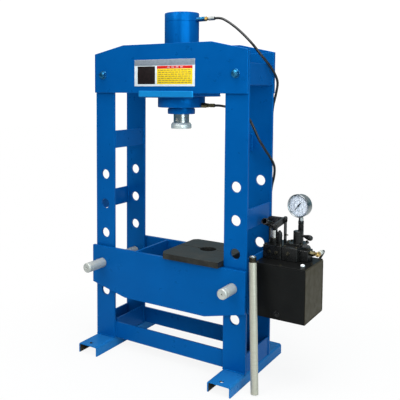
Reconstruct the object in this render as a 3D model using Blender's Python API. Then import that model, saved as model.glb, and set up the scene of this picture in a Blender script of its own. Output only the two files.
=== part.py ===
"""A floor-standing hydraulic shop press with a hand pump, as separate closed solids.

Metres, +Z up. The floor is z = 0 and the front faces -Y. The origin is the middle of the
whole press's footprint, pump and pins included. Everything hangs on an empty that stands
on the frame's own centre line, and every place below is measured from that line.
"""

from math import atan2, cos, degrees, pi, radians, sin

import bmesh
import bpy
from mathutils import Matrix, Vector
from mathutils.geometry import interpolate_bezier, tessellate_polygon

# Driving dimensions
GAP = 0.0003
PLATE = 0.012
FRAME_DEPTH = 0.254
LEG_X = 0.342
LEG_WIDTH = 0.106
REAR_LEG_WIDTH = 0.110
LEG_TOP = 1.390
HOLE_PITCH = 0.140
HOLE_TOP = 0.829
HOLE_COUNT = 5
HOLE_RADIUS = 0.0232
PIN_LEVEL = HOLE_TOP - 3 * HOLE_PITCH
PIN_RADIUS = 0.0222
LEFT_PIN_START = -0.267
RIGHT_PIN_START = -0.244
BED_TOP = 0.4875
BED_HALF = 0.400
BED_DEPTH = 0.302
BED_PLATE = 0.018
BEAM_BOTTOM = 1.214
BEAM_TOP = 1.430
BEAM_HALF = 0.394
BEAM_SHOULDER = 0.037
BEAM_KNEE = 0.228
FOOT_HEIGHT = 0.045
FOOT_HALF = 0.261
CYLINDER_RADIUS = 0.078
CYLINDER_TOP = 1.5725
BORE_RADIUS = 0.0625
ROD_RADIUS = 0.0356
FLANGE_RADIUS = 0.1075
FLANGE_BOTTOM = 1.149
FLANGE_TOP = 1.200
GLAND_BOTTOM = 1.119
HEAD_RADIUS = 0.0468
HEAD_BOTTOM = 1.053
HEAD_TOP = 1.080
HEAD_FLOOR = 0.012
TANK_LEFT = 0.4005
TANK_RIGHT = 0.6235
TANK_FRONT = -0.067
TANK_BACK = 0.143
TANK_BOTTOM = 0.287
TANK_TOP = 0.512
TANK_LID = 0.004
PORT_FACE = 0.592
PLUNGER_RADIUS = 0.0145
PIVOT_RADIUS = 0.006
LEVER_RADIUS = 0.0125
SOCKET_RADIUS = 0.0133
SOCKET_BORE = 0.0102
SOCKET_REACH = 0.114
SOCKET_RISE = radians(21)
TANK_WALL = 0.003
BLOCK_TOP = 0.570
BLOCK_SPLIT = 0.4858
BLOCK_FRONT = 0.018
BLOCK_BACK = 0.141
FOOT_PLATE_TOP = 0.579
VALVE_RADIUS = 0.0205
VALVE_SPLIT = 0.600
ELBOW_X = 0.626
ELBOW_Y = 0.073
ELBOW_LEVEL = 0.547
ELBOW_RADIUS = 0.0105
HOSE_RADIUS = 0.0055
HOSE_SPACING = 0.028
UPPER_LEVEL = 1.5405
UPPER_END = 0.168
LOWER_LEVEL = 1.160
LOWER_END = 0.171
ELBOW_REACH = 0.044
REAR_PORT_X = 0.530
REAR_END = 0.1813

# Derived places
FRONT = -FRAME_DEPTH / 2
BACK = FRAME_DEPTH / 2
BETWEEN = FRAME_DEPTH / 2 - PLATE - GAP
RIGHT_END = ELBOW_X + ELBOW_RADIUS
FRAME_X = (BED_HALF - RIGHT_END) / 2
FRAME_Y = -(LEFT_PIN_START + FOOT_HALF) / 2
PIVOT = Vector((0.4375, 0.093, 0.668))
PLUNGER = Vector((0.431, 0.072, 0.0))
KNUCKLE = Vector((0.431, 0.0715, 0.6415))
VALVE = Vector((0.534, 0.084, 0.0))
STEM = Vector((0.5325, 0.118, 0.0))
DIAL = Vector((0.5275, 0.088, 0.737))
DIAL_TURN = radians(-9)
BOLT_LEVEL = 1.296


# Scene and materials


def clear_scene():
    for obj in list(bpy.data.objects):
        bpy.data.objects.remove(obj, do_unlink=True)


def material(name, colour, roughness, metallic):
    made = bpy.data.materials.new(name)
    made.use_nodes = True
    shader = made.node_tree.nodes["Principled BSDF"]
    shader.inputs["Base Color"].default_value = (*colour, 1)
    shader.inputs["Roughness"].default_value = roughness
    shader.inputs["Metallic"].default_value = metallic
    made.diffuse_color = (*colour, 1)
    return made


clear_scene()
press = bpy.data.objects.new("press", None)
press.location = (FRAME_X, FRAME_Y, 0)
bpy.context.scene.collection.objects.link(press)

BLUE = material("frame_blue", (0.008, 0.10, 0.36), 0.38, 0.0)
STEEL = material("bright_steel", (0.62, 0.63, 0.64), 0.32, 1.0)
PIN_STEEL = material("pin_steel", (0.42, 0.47, 0.52), 0.42, 0.8)
DARK_STEEL = material("arbor_steel", (0.07, 0.065, 0.05), 0.5, 0.6)
BLACK = material("tank_black", (0.02, 0.02, 0.02), 0.45, 0.0)
BLACK_STEEL = material("black_steel", (0.025, 0.025, 0.025), 0.35, 0.5)
RUBBER = material("hose_rubber", (0.015, 0.015, 0.015), 0.6, 0.0)
BRASS = material("brass", (0.75, 0.52, 0.18), 0.3, 1.0)
NEEDLE = material("needle_black", (0.02, 0.02, 0.02), 0.5, 0.0)
WHITE = material("cap_white", (0.85, 0.85, 0.82), 0.4, 0.0)


# Solids


def finish(name, bm, made_of, place=(0, 0, 0)):
    """The bmesh as an object on the press, with its faces turned outwards."""
    bmesh.ops.recalc_face_normals(bm, faces=bm.faces[:])
    mesh = bpy.data.meshes.new(name)
    bm.to_mesh(mesh)
    bm.free()
    mesh.materials.append(made_of)
    mesh.shade_smooth()
    mesh.set_sharp_from_angle(angle=radians(32))
    obj = bpy.data.objects.new(name, mesh)
    obj.location = place
    obj.parent = press
    bpy.context.scene.collection.objects.link(obj)
    return obj


def circle(x, y, radius, count=24):
    """A round loop of points, turned half a step so that it has flats above and below."""
    turns = [2 * pi * (i + 0.5) / count for i in range(count)]
    return [(x + radius * cos(t), y + radius * sin(t)) for t in turns]


def arc(x, y, radius, start, end, count):
    """Points from the angle start to the angle end, in degrees, both included."""
    turns = [radians(start + (end - start) * i / count) for i in range(count + 1)]
    return [(x + radius * cos(t), y + radius * sin(t)) for t in turns]


def rectangle(left, right, low, high):
    return [(left, low), (right, low), (right, high), (left, high)]


def stadium(first, second, radius):
    """An outline with parallel sides and round ends about two points."""
    lean = degrees(atan2(second[1] - first[1], second[0] - first[0]))
    return [
        *arc(*second, radius, lean - 90, lean + 90, 8),
        *arc(*first, radius, lean + 90, lean + 270, 8),
    ]


def rod(radius, low, high):
    """The profile of a plain round bar."""
    return [(0, low), (radius, low), (radius, high), (0, high)]


def dome(radius, base, height, angles):
    """Points that round off a bar's top, from its side towards its middle."""
    turns = [radians(angle) for angle in angles]
    return [(radius * cos(t), base + height * sin(t)) for t in turns]


def inset(points, distance):
    """A counterclockwise outline moved inwards by the distance on every side."""
    moved = []
    for i, here in enumerate(points):
        before = Vector(here) - Vector(points[i - 1])
        after = Vector(points[(i + 1) % len(points)]) - Vector(here)
        first = Vector((-before.y, before.x)).normalized()
        second = Vector((-after.y, after.x)).normalized()
        shift = (first + second) * distance / (1 + first.dot(second))
        moved.append((here[0] + shift.x, here[1] + shift.y))
    return moved


def axes(along):
    """The two drawing axes and the extrusion axis of a prism, as a matrix's columns."""
    columns = {
        "X": ((0, 1, 0), (0, 0, 1), (1, 0, 0)),
        "Y": ((1, 0, 0), (0, 0, 1), (0, 1, 0)),
        "Z": ((1, 0, 0), (0, 1, 0), (0, 0, 1)),
    }[along]
    return Matrix(columns).transposed()


def add_walls(bm, rings):
    for lower, upper in zip(rings, rings[1:]):
        for i in range(len(lower)):
            j = (i + 1) % len(lower)
            bm.faces.new((lower[i], lower[j], upper[j], upper[i]))


def prism(name, made_of, outline, low, high, along, holes=(), edge=0.0, place=(0, 0, 0)):
    """An outline with holes, drawn counterclockwise, extruded from low to high.

    The outline's own rims have a chamfer of the width edge.
    """
    turn = axes(along)
    bm = bmesh.new()
    loops = [outline, *holes]
    levels = [(low, 0.0), (high, 0.0)]
    if edge:
        levels = [(low, edge), (low + edge, 0.0), (high - edge, 0.0), (high, edge)]
    caps = {low: [], high: []}
    for index, loop in enumerate(loops):
        rings = []
        for level, cut in levels:
            if index and cut == 0.0 and edge:
                continue
            points = inset(loop, cut) if cut and not index else loop
            rings.append([bm.verts.new(turn @ Vector((x, y, level))) for x, y in points])
        add_walls(bm, rings)
        caps[low].append(rings[0])
        caps[high].append(rings[-1])
    for rings in caps.values():
        flat = turn.transposed()
        drawn = [[(flat @ v.co).to_2d().to_3d() for v in ring] for ring in rings]
        corners = [v for ring in rings for v in ring]
        for triangle in tessellate_polygon(drawn):
            bm.faces.new([corners[i] for i in triangle])
    return finish(name, bm, made_of, place)


def turned(name, made_of, profile, along=(0, 0, 1), place=(0, 0, 0), steps=32):
    """A solid of revolution. The profile is (radius, height) pairs along the axis.

    A profile that starts and ends at radius 0 is solid; any other closes into a ring.
    """
    bm = bmesh.new()
    verts = [bm.verts.new((radius, 0, height)) for radius, height in profile]
    edges = [bm.edges.new(pair) for pair in zip(verts, verts[1:])]
    if profile[0][0] > 0:
        edges.append(bm.edges.new((verts[-1], verts[0])))
    bmesh.ops.spin(
        bm, geom=verts + edges, axis=(0, 0, 1), cent=(0, 0, 0), angle=2 * pi, steps=steps,
        use_merge=True,
    )
    bmesh.ops.remove_doubles(bm, verts=bm.verts[:], dist=1e-6)
    lean = Vector((0, 0, 1)).rotation_difference(Vector(along)).to_matrix().to_4x4()
    bmesh.ops.transform(bm, matrix=lean, verts=bm.verts[:])
    return finish(name, bm, made_of, place)


def block(name, made_of, low, high, edge=0.001):
    """A box between two corners, with chamfered edges all round."""
    middle = (Vector(low) + Vector(high)) / 2
    size = Vector(high) - Vector(low)
    bm = bmesh.new()
    bmesh.ops.create_cube(bm, size=1, matrix=Matrix.Diagonal((*size, 1)))
    if edge:
        bmesh.ops.bevel(
            bm, geom=bm.edges[:], offset=edge, segments=1, profile=0.5, affect="EDGES"
        )
    return finish(name, bm, made_of, middle)


def cutter(obj):
    obj.hide_render = True
    obj.display_type = "WIRE"
    return obj


def boolean(obj, other, operation):
    made = obj.modifiers.new(other.name, "BOOLEAN")
    made.operation = operation
    made.object = cutter(other)
    made.solver = "EXACT"


def sides():
    """The two legs: a name and the side's sign."""
    return (("left", -1), ("right", 1))


# Legs


def leg_holes():
    """The pin holes' centre heights, top first."""
    return [HOLE_TOP - HOLE_PITCH * i for i in range(HOLE_COUNT)]


def uprights():
    """The four leg plates; the rear ones are a little wider towards the frame's middle."""
    holes = [circle(0, level, HOLE_RADIUS) for level in leg_holes()]
    holes.append(circle(0, BOLT_LEVEL, 0.0102, 12))
    rows = (("front", FRONT, LEG_WIDTH), ("rear", BACK - PLATE, REAR_LEG_WIDTH))
    for side, sign in sides():
        for row, y, width in rows:
            outer = LEG_WIDTH / 2
            left, right = sorted((sign * outer, sign * (outer - width)))
            outline = rectangle(left, right, FOOT_HEIGHT + GAP, LEG_TOP)
            prism(
                f"upright_{row}_{side}", BLUE, outline, 0, PLATE, "Y", holes, 0.001,
                place=(sign * LEG_X, y, 0),
            )


def channel():
    """The foot's section: an inverted channel with rounded bends."""
    half = LEG_WIDTH / 2
    wall = 0.006
    bend = 0.010
    top = FOOT_HEIGHT
    right = [(half, 0), *arc(half - bend, top - bend, bend, 0, 90, 4)]
    inner_bend = bend - wall
    inside = arc(half - bend, top - bend, inner_bend, 90, 0, 2)
    right_inside = [*inside, (half - wall, 0)]
    outer = right + [(-x, z) for x, z in reversed(right)]
    inner = [(-x, z) for x, z in reversed(right_inside)] + right_inside
    return outer + inner


def feet():
    """The channels the legs stand on, with an anchor hole near each end."""
    hole_y = FOOT_HALF - 0.027
    drilled = rod(0.009, FOOT_HEIGHT / 2, FOOT_HEIGHT + 0.015)
    for side, sign in sides():
        foot = prism(
            f"foot_{side}", BLUE, channel(), -FOOT_HALF, FOOT_HALF, "Y",
            place=(sign * LEG_X, 0, 0),
        )
        for end in (-1, 1):
            place = (sign * LEG_X, end * hole_y, 0)
            drill = turned(f"foot_drill_{side}_{end}", BLUE, drilled, place=place, steps=16)
            boolean(foot, drill, "DIFFERENCE")


def leg_braces():
    """The flat bars that tie each front upright to the rear one behind it."""
    inner = (0.291, 0.299)
    outer = (0.384, 0.392)
    bars = (
        ("brace_upper", inner, -BETWEEN, 0.955, 1.037),
        ("brace_mid", outer, -BETWEEN, 0.655, 0.738),
        ("cheek_outer", outer, -BETWEEN, FOOT_HEIGHT + GAP, 0.127),
        ("cheek_inner", inner, -BETWEEN + PLATE + GAP, FOOT_HEIGHT + GAP, 0.132),
    )
    for side, sign in sides():
        for name, (near, far), start, low, high in bars:
            left, right = sorted((sign * near, sign * far))
            block(f"{name}_{side}", BLUE, (left, start, low), (right, BETWEEN, high))


def rails():
    """The two cross rails at the foot of the frame."""
    half = 0.380
    front = FRONT + PLATE + GAP
    rear = BACK + GAP
    for row, y in (("front", front), ("rear", rear)):
        block(
            f"rail_{row}", BLUE, (-half, y, FOOT_HEIGHT + GAP), (half, y + PLATE - GAP, 0.120)
        )


# Upper beam


def beam_plates():
    shoulder = BEAM_TOP - BEAM_SHOULDER
    outline = [
        (-BEAM_HALF, BEAM_BOTTOM),
        (BEAM_HALF, BEAM_BOTTOM),
        (BEAM_HALF, shoulder),
        (BEAM_KNEE, BEAM_TOP),
        (-BEAM_KNEE, BEAM_TOP),
        (-BEAM_HALF, shoulder),
    ]
    holes = [circle(sign * LEG_X, BOLT_LEVEL, 0.0102, 12) for sign in (-1, 1)]
    for row, y in (("front", FRONT - PLATE - GAP), ("rear", BACK + GAP)):
        prism(f"beam_{row}", BLUE, outline, 0, PLATE, "Y", holes, 0.001, place=(0, y, 0))


def beam_sides():
    """The flat bars between the beam's plates, outside the legs."""
    for side, sign in sides():
        left, right = sorted((sign * 0.384, sign * 0.392))
        block(f"beam_side_{side}", BLUE, (left, -BETWEEN, 1.249), (right, BETWEEN, 1.340))


def tie_bolts():
    """Bolts through the beam plates and the uprights, each with its washer and nut."""
    for side, sign in sides():
        for row, facing, y in (("front", -1, FRONT), ("rear", 1, BACK)):
            bolt(f"bolt_{row}_{side}", (sign * LEG_X, y, BOLT_LEVEL), facing)


def bolt(name, place, facing):
    """One bolt: heights run outwards from the upright's outer face."""
    near = PLATE + 2 * GAP
    far = -PLATE - GAP
    shank, head, washer, bevel = 0.0098, 0.0155, 0.0185, 0.002
    seat = near + 0.003
    top = seat + 0.012
    bottom = far - 0.012
    profile = [
        (0, bottom), (head - bevel, bottom), (head, bottom + bevel), (head, far),
        (shank, far), (shank, near), (washer, near), (washer, seat),
        (head, seat), (head, top - bevel), (head - bevel, top), (0, top),
    ]
    turned(name, BLUE, profile, (0, facing, 0), place, steps=12)


def label_plate():
    """The thin sheet plate on the beam's face that carries the press's label."""
    back = FRONT - PLATE - 2 * GAP
    block("label_plate", WHITE, (-0.162, back - 0.0012, 1.244), (0.151, back, 1.361), 0.0002)


def cylinder_plate():
    """The plate under the beam that the barrel is let into."""
    outline = rectangle(-0.125, 0.125, -0.139, 0.139)
    hole = circle(0, 0, CYLINDER_RADIUS + GAP * 2, 48)
    low, high = FLANGE_TOP + GAP, BEAM_BOTTOM - GAP
    prism("cylinder_plate", BLUE, outline, low, high, "Z", [hole], 0.001)


def shelf_bar():
    """The round-ended bar that is welded along the front plate's lower edge."""
    low, high = 1.197, 1.224
    front, back = -0.149, FRONT - PLATE - 2 * GAP
    left, right = -0.136, 0.146
    end = (back - front) / 2
    outline = [
        *arc(right - end, front + end, end, -90, 90, 6),
        *arc(left + end, front + end, end, 90, 270, 6),
    ]
    prism("shelf_bar", BLUE, outline, low, high, "Z", edge=0.002)


# Cylinder and ram


def cylinder_barrel():
    """A blind tube, open below, with a turned groove under its cap."""
    low = FLANGE_TOP + GAP
    radius = CYLINDER_RADIUS
    groove, cut, bevel = 1.533, 0.001, 0.004
    profile = [
        (0, CYLINDER_TOP), (radius - bevel, CYLINDER_TOP), (radius, CYLINDER_TOP - bevel),
        (radius, groove + cut), (radius - cut, groove), (radius, groove - cut),
        (radius, low), (BORE_RADIUS, low), (BORE_RADIUS, groove), (0, groove),
    ]
    turned("cylinder_barrel", BLUE, profile, steps=48)


def cylinder_flange():
    """The ring that closes the barrel's lower end."""
    radius, bevel = FLANGE_RADIUS, 0.003
    bore = ROD_RADIUS + GAP
    profile = [
        (bore, FLANGE_BOTTOM), (radius - bevel, FLANGE_BOTTOM), (radius, FLANGE_BOTTOM + bevel),
        (radius, FLANGE_TOP - bevel), (radius - bevel, FLANGE_TOP), (bore, FLANGE_TOP),
    ]
    turned("cylinder_flange", BLUE, profile, steps=48)


def gland_nut():
    """The nut that holds the rod's packing, with a short neck under the flange."""
    bore = ROD_RADIUS + GAP
    top = FLANGE_BOTTOM - GAP
    radius, neck, bevel = 0.0625, 0.058, 0.003
    shoulder = top - 0.0052
    profile = [
        (bore, GLAND_BOTTOM), (radius - bevel, GLAND_BOTTOM), (radius, GLAND_BOTTOM + bevel),
        (radius, shoulder), (neck, shoulder), (neck, top), (bore, top),
    ]
    turned("gland_nut", BLUE, profile, steps=48)


def piston_rod():
    """The rod from its seat in the head up to the piston inside the barrel."""
    seat = HEAD_BOTTOM + HEAD_FLOOR + GAP
    piston_low, piston_high = 1.450, 1.500
    piston = BORE_RADIUS - GAP
    profile = [
        (0, seat), (ROD_RADIUS, seat), (ROD_RADIUS, piston_low), (piston, piston_low),
        (piston, piston_high), (0, piston_high),
    ]
    made = turned("piston_rod", STEEL, profile, steps=48)
    turn = radians(-4)
    along = (sin(turn), -cos(turn), 0)
    drill = turned("rod_drill", STEEL, rod(0.0058, 0.028, 0.045), along, (0, 0, 1.0925), 16)
    boolean(made, drill, "DIFFERENCE")


def ram_head():
    """The round pressing head: the rod sits in its socket."""
    radius, edge, slope, rise = HEAD_RADIUS, 0.002, 0.006, 0.010
    socket = ROD_RADIUS + GAP
    floor = HEAD_BOTTOM + HEAD_FLOOR
    profile = [
        (0, HEAD_BOTTOM), (radius - edge, HEAD_BOTTOM), (radius, HEAD_BOTTOM + edge),
        (radius, HEAD_TOP - rise), (radius - slope, HEAD_TOP), (socket, HEAD_TOP),
        (socket, floor), (0, floor),
    ]
    turned("ram_head", STEEL, profile, steps=48)


# Bed


def bed_plates():
    """The bed's front and rear plates, deeper in the middle than at the ends."""
    end_low, middle_low, knee = 0.309, 0.263, 0.211
    outline = [
        (-knee, middle_low), (knee, middle_low), (BED_HALF, end_low), (BED_HALF, BED_TOP),
        (-BED_HALF, BED_TOP), (-BED_HALF, end_low),
    ]
    holes = [circle(sign * LEG_X, PIN_LEVEL, HOLE_RADIUS) for sign in (-1, 1)]
    for row, y in (("front", -BED_DEPTH / 2), ("rear", BED_DEPTH / 2 - BED_PLATE)):
        place = (0, y, 0)
        prism(f"bed_{row}", BLUE, outline, 0, BED_PLATE, "Y", holes, 0.001, place=place)


def bed_ribs():
    half = BED_DEPTH / 2 - BED_PLATE - GAP
    for side, sign in sides():
        left, right = sorted((sign * 0.151, sign * 0.163))
        block(f"bed_rib_{side}", BLUE, (left, -half, 0.330), (right, half, BED_TOP))


def support_pins():
    """Loose pins that carry the bed: drawn out towards the front."""
    radius, length, bevel = PIN_RADIUS, 0.422, 0.003
    profile = [
        (0, 0), (radius - bevel, 0), (radius, bevel), (radius, length - bevel),
        (radius - bevel, length), (0, length),
    ]
    for (side, sign), start in zip(sides(), (LEFT_PIN_START, RIGHT_PIN_START)):
        place = (sign * LEG_X, start, PIN_LEVEL)
        turned(f"support_pin_{side}", PIN_STEEL, profile, (0, 1, 0), place, 24)


def arbor_outline_front():
    """Half of the split block: a half-round notch in its back edge, one corner cut."""
    left, right, front, split = -0.005, 0.286, -0.172, 0.002
    notch, radius = 0.143, 0.036
    cut_along, cut_deep = 0.034, 0.019
    start = -2
    centre = split - radius * sin(radians(start))
    return [
        (left, front + cut_along), (left + cut_deep, front), (right, front), (right, split),
        *arc(notch, centre, radius, start, -180 - start, 16),
        (notch - radius - 0.006, split - 0.010), (notch - radius - 0.016, split), (left, split),
    ]


def arbor_outline_rear():
    """The other half, with the same notch in its front edge."""
    left, right, split, back = -0.005, 0.2838, 0.005, 0.143
    notch, radius = 0.143, 0.036
    return [
        (left, split), *arc(notch, split, radius, 180, 0, 16), (right, split), (right, back),
        (left + 0.019, back), (left, back - 0.019),
    ]


def arbor_plates():
    """Two loose plates that lie on the bed and slide apart."""
    low = BED_TOP + GAP
    thick = 0.025
    outlines = (("front", arbor_outline_front()), ("rear", arbor_outline_rear()))
    for row, outline in outlines:
        prism(f"arbor_plate_{row}", DARK_STEEL, outline, low, low + thick, "Z", edge=0.001)


# Tank and bracket


def pump_bracket():
    """The plate on the leg's outer side that carries the tank."""
    block("pump_bracket", BLUE, (0.3885, -BETWEEN, 0.300), (TANK_LEFT - GAP, BETWEEN, 0.535))


def tank():
    """An open-topped steel box: its lid is a piece of its own."""
    outer = rectangle(TANK_LEFT, TANK_RIGHT, TANK_FRONT, TANK_BACK)
    top = TANK_TOP - TANK_LID - GAP
    body = prism("tank", BLACK, outer, TANK_BOTTOM, top, "Z", edge=0.0015)
    inner = inset(outer, TANK_WALL)
    room = prism("tank_room", BLACK, inner, TANK_BOTTOM + TANK_WALL, TANK_TOP, "Z")
    boolean(body, room, "DIFFERENCE")


def tank_lid():
    outer = rectangle(TANK_LEFT, TANK_RIGHT, TANK_FRONT, TANK_BACK)
    prism("tank_lid", BLACK, outer, TANK_TOP - TANK_LID, TANK_TOP, "Z", edge=0.001)


def filler_cap():
    """The round breather cap on the tank's lid."""
    base, rim, seat = TANK_TOP + GAP, 0.0088, 0.003
    crown = dome(0.0078, base + seat, 0.0055, (0, 25, 50, 75))
    profile = [(0, base), (rim, base), (rim, base + seat), *crown, (0, base + 0.0085)]
    turned("filler_cap", WHITE, profile, place=(0.594, -0.019, 0), steps=24)


# Pump and valve


def pump_block():
    """The pump's block, with the plunger's gland and the relief valve's column."""
    low = TANK_TOP + GAP
    right = BLOCK_SPLIT - 4 * GAP
    pump = block(
        "pump_block", BLACK_STEEL, (0.4025, BLOCK_FRONT, low), (right, BLOCK_BACK, BLOCK_TOP),
        0.002,
    )
    sink = BLOCK_TOP - 0.006
    radius, top, bevel = 0.0205, 0.591, 0.002
    gland = [(0, sink), (radius, sink), (radius, top - bevel), (radius - bevel, top), (0, top)]
    boolean(pump, turned("gland_boss", BLACK_STEEL, gland, place=PLUNGER, steps=24), "UNION")
    radius, base = 0.0112, 0.613
    crown = dome(radius, base, 0.012, (0, 30, 60))
    column = [(0, sink), (radius, sink), *crown, (0, base + 0.012)]
    place = (0.4575, 0.067, 0)
    boolean(pump, turned("relief", BLACK_STEEL, column, place=place, steps=24), "UNION")
    bore = rod(PLUNGER_RADIUS + GAP, 0.535, top + 0.03)
    boolean(pump, turned("bore", BLACK_STEEL, bore, place=PLUNGER, steps=24), "DIFFERENCE")


def valve_block():
    """The valve's block, and the lower arm that carries the side port and its plug."""
    low = TANK_TOP + GAP
    left = BLOCK_SPLIT + 4 * GAP
    body = block(
        "valve_block", BLACK_STEEL, (left, BLOCK_FRONT, low), (0.555, BLOCK_BACK, BLOCK_TOP),
        0.002,
    )
    arm_top = 0.559
    arm = block("port_arm", BLACK_STEEL, (0.545, 0.045, low), (PORT_FACE, 0.105, arm_top), 0.002)
    plug = turned(
        "port_plug", BLACK_STEEL, rod(0.0105, arm_top - 0.006, 0.5685),
        place=(0.580, 0.075, 0), steps=6,
    )
    boolean(body, arm, "UNION")
    boolean(body, plug, "UNION")


def plunger():
    """The bright plunger that the lever's knuckle presses on."""
    radius, low, bevel = PLUNGER_RADIUS, 0.562, 0.003
    top = KNUCKLE.z - LEVER_RADIUS - GAP
    profile = [(0, low), (radius, low), (radius, top - bevel), (radius - bevel, top), (0, top)]
    turned("plunger", STEEL, profile, place=PLUNGER, steps=24)


def lever_bracket():
    """Two upright links on the block, joined by the pivot pin of the lever."""
    half, low, top = 0.011, BLOCK_TOP + GAP, PIVOT.z + 0.010
    outline = [(-half, low), (half, low), *arc(0, top - half, half, 0, 180, 8)]
    place = (0, PIVOT.y, 0)
    left = prism("lever_bracket", BLACK_STEEL, outline, 0.4005, 0.4055, "X", place=place)
    right = prism("link_right", BLACK_STEEL, outline, 0.4697, 0.4747, "X", place=place)
    head, shank = 0.0085, PIVOT_RADIUS
    pin = [
        (0, 0.397), (head, 0.397), (head, 0.403), (shank, 0.403),
        (shank, 0.472), (head, 0.472), (head, 0.478), (0, 0.478),
    ]
    shaft = turned("pivot_pin", BLACK_STEEL, pin, (1, 0, 0), (0, PIVOT.y, PIVOT.z), 16)
    boolean(left, right, "UNION")
    boolean(left, shaft, "UNION")


def pump_lever():
    """A yoke on the pivot: a web down to the knuckle, a handle socket and a side arm."""
    half = 0.4692 - PIVOT.x
    hub = turned("pump_lever", BLACK_STEEL, rod(LEVER_RADIUS, -half, half), (1, 0, 0), PIVOT, 24)
    web = stadium((KNUCKLE.y, KNUCKLE.z), (PIVOT.y, PIVOT.z), LEVER_RADIUS)
    low, high = KNUCKLE.x - 0.0125, KNUCKLE.x + 0.0125
    lean = Vector((0, -cos(SOCKET_RISE), sin(SOCKET_RISE)))
    arm = stadium((-0.004, 0.6585), (0.112, 0.6695), LEVER_RADIUS)
    socket = rod(SOCKET_RADIUS, 0, SOCKET_REACH)
    mouth = rod(SOCKET_BORE, 0.030, SOCKET_REACH + 0.02)
    bore = rod(PIVOT_RADIUS + GAP, -2 * half, 2 * half)
    parts = [
        prism("web", BLACK_STEEL, web, low, high, "X"),
        prism("arm", BLACK_STEEL, arm, 0.4612, 0.4692, "X"),
        turned("socket", BLACK_STEEL, socket, lean, KNUCKLE, 24),
    ]
    holes = [
        turned("mouth", BLACK_STEEL, mouth, lean, KNUCKLE, 24),
        turned("pivot_bore", BLACK_STEEL, bore, (1, 0, 0), PIVOT, 16),
    ]
    for part in parts:
        boolean(hub, part, "UNION")
    for hole in holes:
        boolean(hub, hole, "DIFFERENCE")


def valve_body():
    """The release valve's lower half on its foot plate."""
    low = BLOCK_TOP + GAP
    outline = rectangle(BLOCK_SPLIT + 0.003, 0.562, 0.060, 0.139)
    foot = prism("valve_body", BLACK_STEEL, outline, low, FOOT_PLATE_TOP, "Z", edge=0.001)
    tower = rod(VALVE_RADIUS, low + 0.002, VALVE_SPLIT)
    boolean(foot, turned("valve_tower", BLACK_STEEL, tower, place=VALVE, steps=32), "UNION")


def valve_lever():
    """The turning top of the valve, its neck and its drop-shaped knob."""
    low, high, bevel = VALVE_SPLIT + GAP, 0.632, 0.002
    radius = VALVE_RADIUS
    profile = [
        (0, low), (radius, low), (radius, high - bevel), (radius - bevel, high), (0, high),
    ]
    top = turned("valve_lever", BLACK_STEEL, profile, place=VALVE, steps=32)
    start = VALVE + Vector((0.012, -0.003, 0.6160))
    reach = Vector((0.6000, 0.0740, 0.6085)) - start
    drop = [
        (0, 0), (0.0048, 0), (0.0050, 0.25), (0.0072, 0.40), (0.0100, 0.56),
        (0.0117, 0.70), (0.0119, 0.80), (0.0104, 0.90), (0.0070, 0.97), (0, 1),
    ]
    profile = [(radius, share * reach.length) for radius, share in drop]
    boolean(top, turned("valve_knob", BLACK_STEEL, profile, reach, start, 20), "UNION")


def gauge_case():
    """The gauge's drum, open in front down to its dial, on its stem."""
    facing = Vector((sin(DIAL_TURN), -cos(DIAL_TURN), 0))
    rim, lip, depth, well = 0.050, 0.006, 0.044, 0.008
    drum = rim - 0.002
    profile = [
        (0, -depth), (drum - 0.004, -depth), (drum, -depth + 0.004), (drum, -well),
        (rim, -well), (rim, -0.001), (rim - 0.001, 0), (rim - 0.0045, 0), (rim - lip, -0.002),
        (rim - lip, -well), (0, -well),
    ]
    case = turned("gauge_case", STEEL, profile, facing, DIAL, 48)
    low, hex_low, hex_high = FOOT_PLATE_TOP + GAP, 0.670, 0.684
    stem = [
        (0, low), (0.0118, low), (0.0118, hex_low - 0.001), (0.0095, hex_low),
        (0.0095, hex_high), (0.006, hex_high), (0.006, 0.700), (0, 0.700),
    ]
    boolean(case, turned("gauge_stem", BLACK_STEEL, stem, place=STEM, steps=24), "UNION")


def gauge_needle():
    """The pointer: its pivot is the dial's middle, and it points at the scale's start."""
    tip, tail, hub = 0.031, 0.015, 0.0042
    outline = [
        (tip, -0.0006), (tip, 0.0006), (0.003, 0.0016), *arc(0, 0, hub, 35, 145, 4),
        *arc(-tail, 0, 0.0030, 60, 300, 8), *arc(0, 0, hub, 215, 325, 4), (0.003, -0.0016),
    ]
    needle = prism("gauge_needle", NEEDLE, outline, 0.0042, 0.0052, "Y")
    needle.matrix_local = (
        Matrix.Translation(DIAL)
        @ Matrix.Rotation(DIAL_TURN, 4, "Z")
        @ Matrix.Rotation(radians(130), 4, "Y")
    )


# Hoses and fittings


def stepped(*steps):
    """The profile of a bar in round steps, each a (radius, end) pair, from height 0."""
    profile = [(0, 0)]
    start = 0
    for radius, end in steps:
        profile.append((radius, start))
        profile.append((radius, end))
        start = end
    return [*profile, (0, start)]


def upper_fitting():
    """The barrel's upper port: a stub, a nut, a collar and a crimped ferrule."""
    start = CYLINDER_RADIUS + GAP
    steps = ((0.0105, 0.030), (0.0115, 0.049), (0.0070, 0.059), (0.0085, UPPER_END - start))
    turned("upper_fitting", STEEL, stepped(*steps), (1, 0, 0), (start, 0, UPPER_LEVEL), 24)


def lower_fitting():
    """The flange's port: a large nut, a small one and a crimped ferrule."""
    start = FLANGE_RADIUS + GAP
    steps = ((0.0125, 0.020), (0.0105, 0.032), (0.0070, 0.038), (0.0085, LOWER_END - start))
    turned("lower_fitting", STEEL, stepped(*steps), (1, 0, 0), (start, 0, LOWER_LEVEL), 24)


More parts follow.
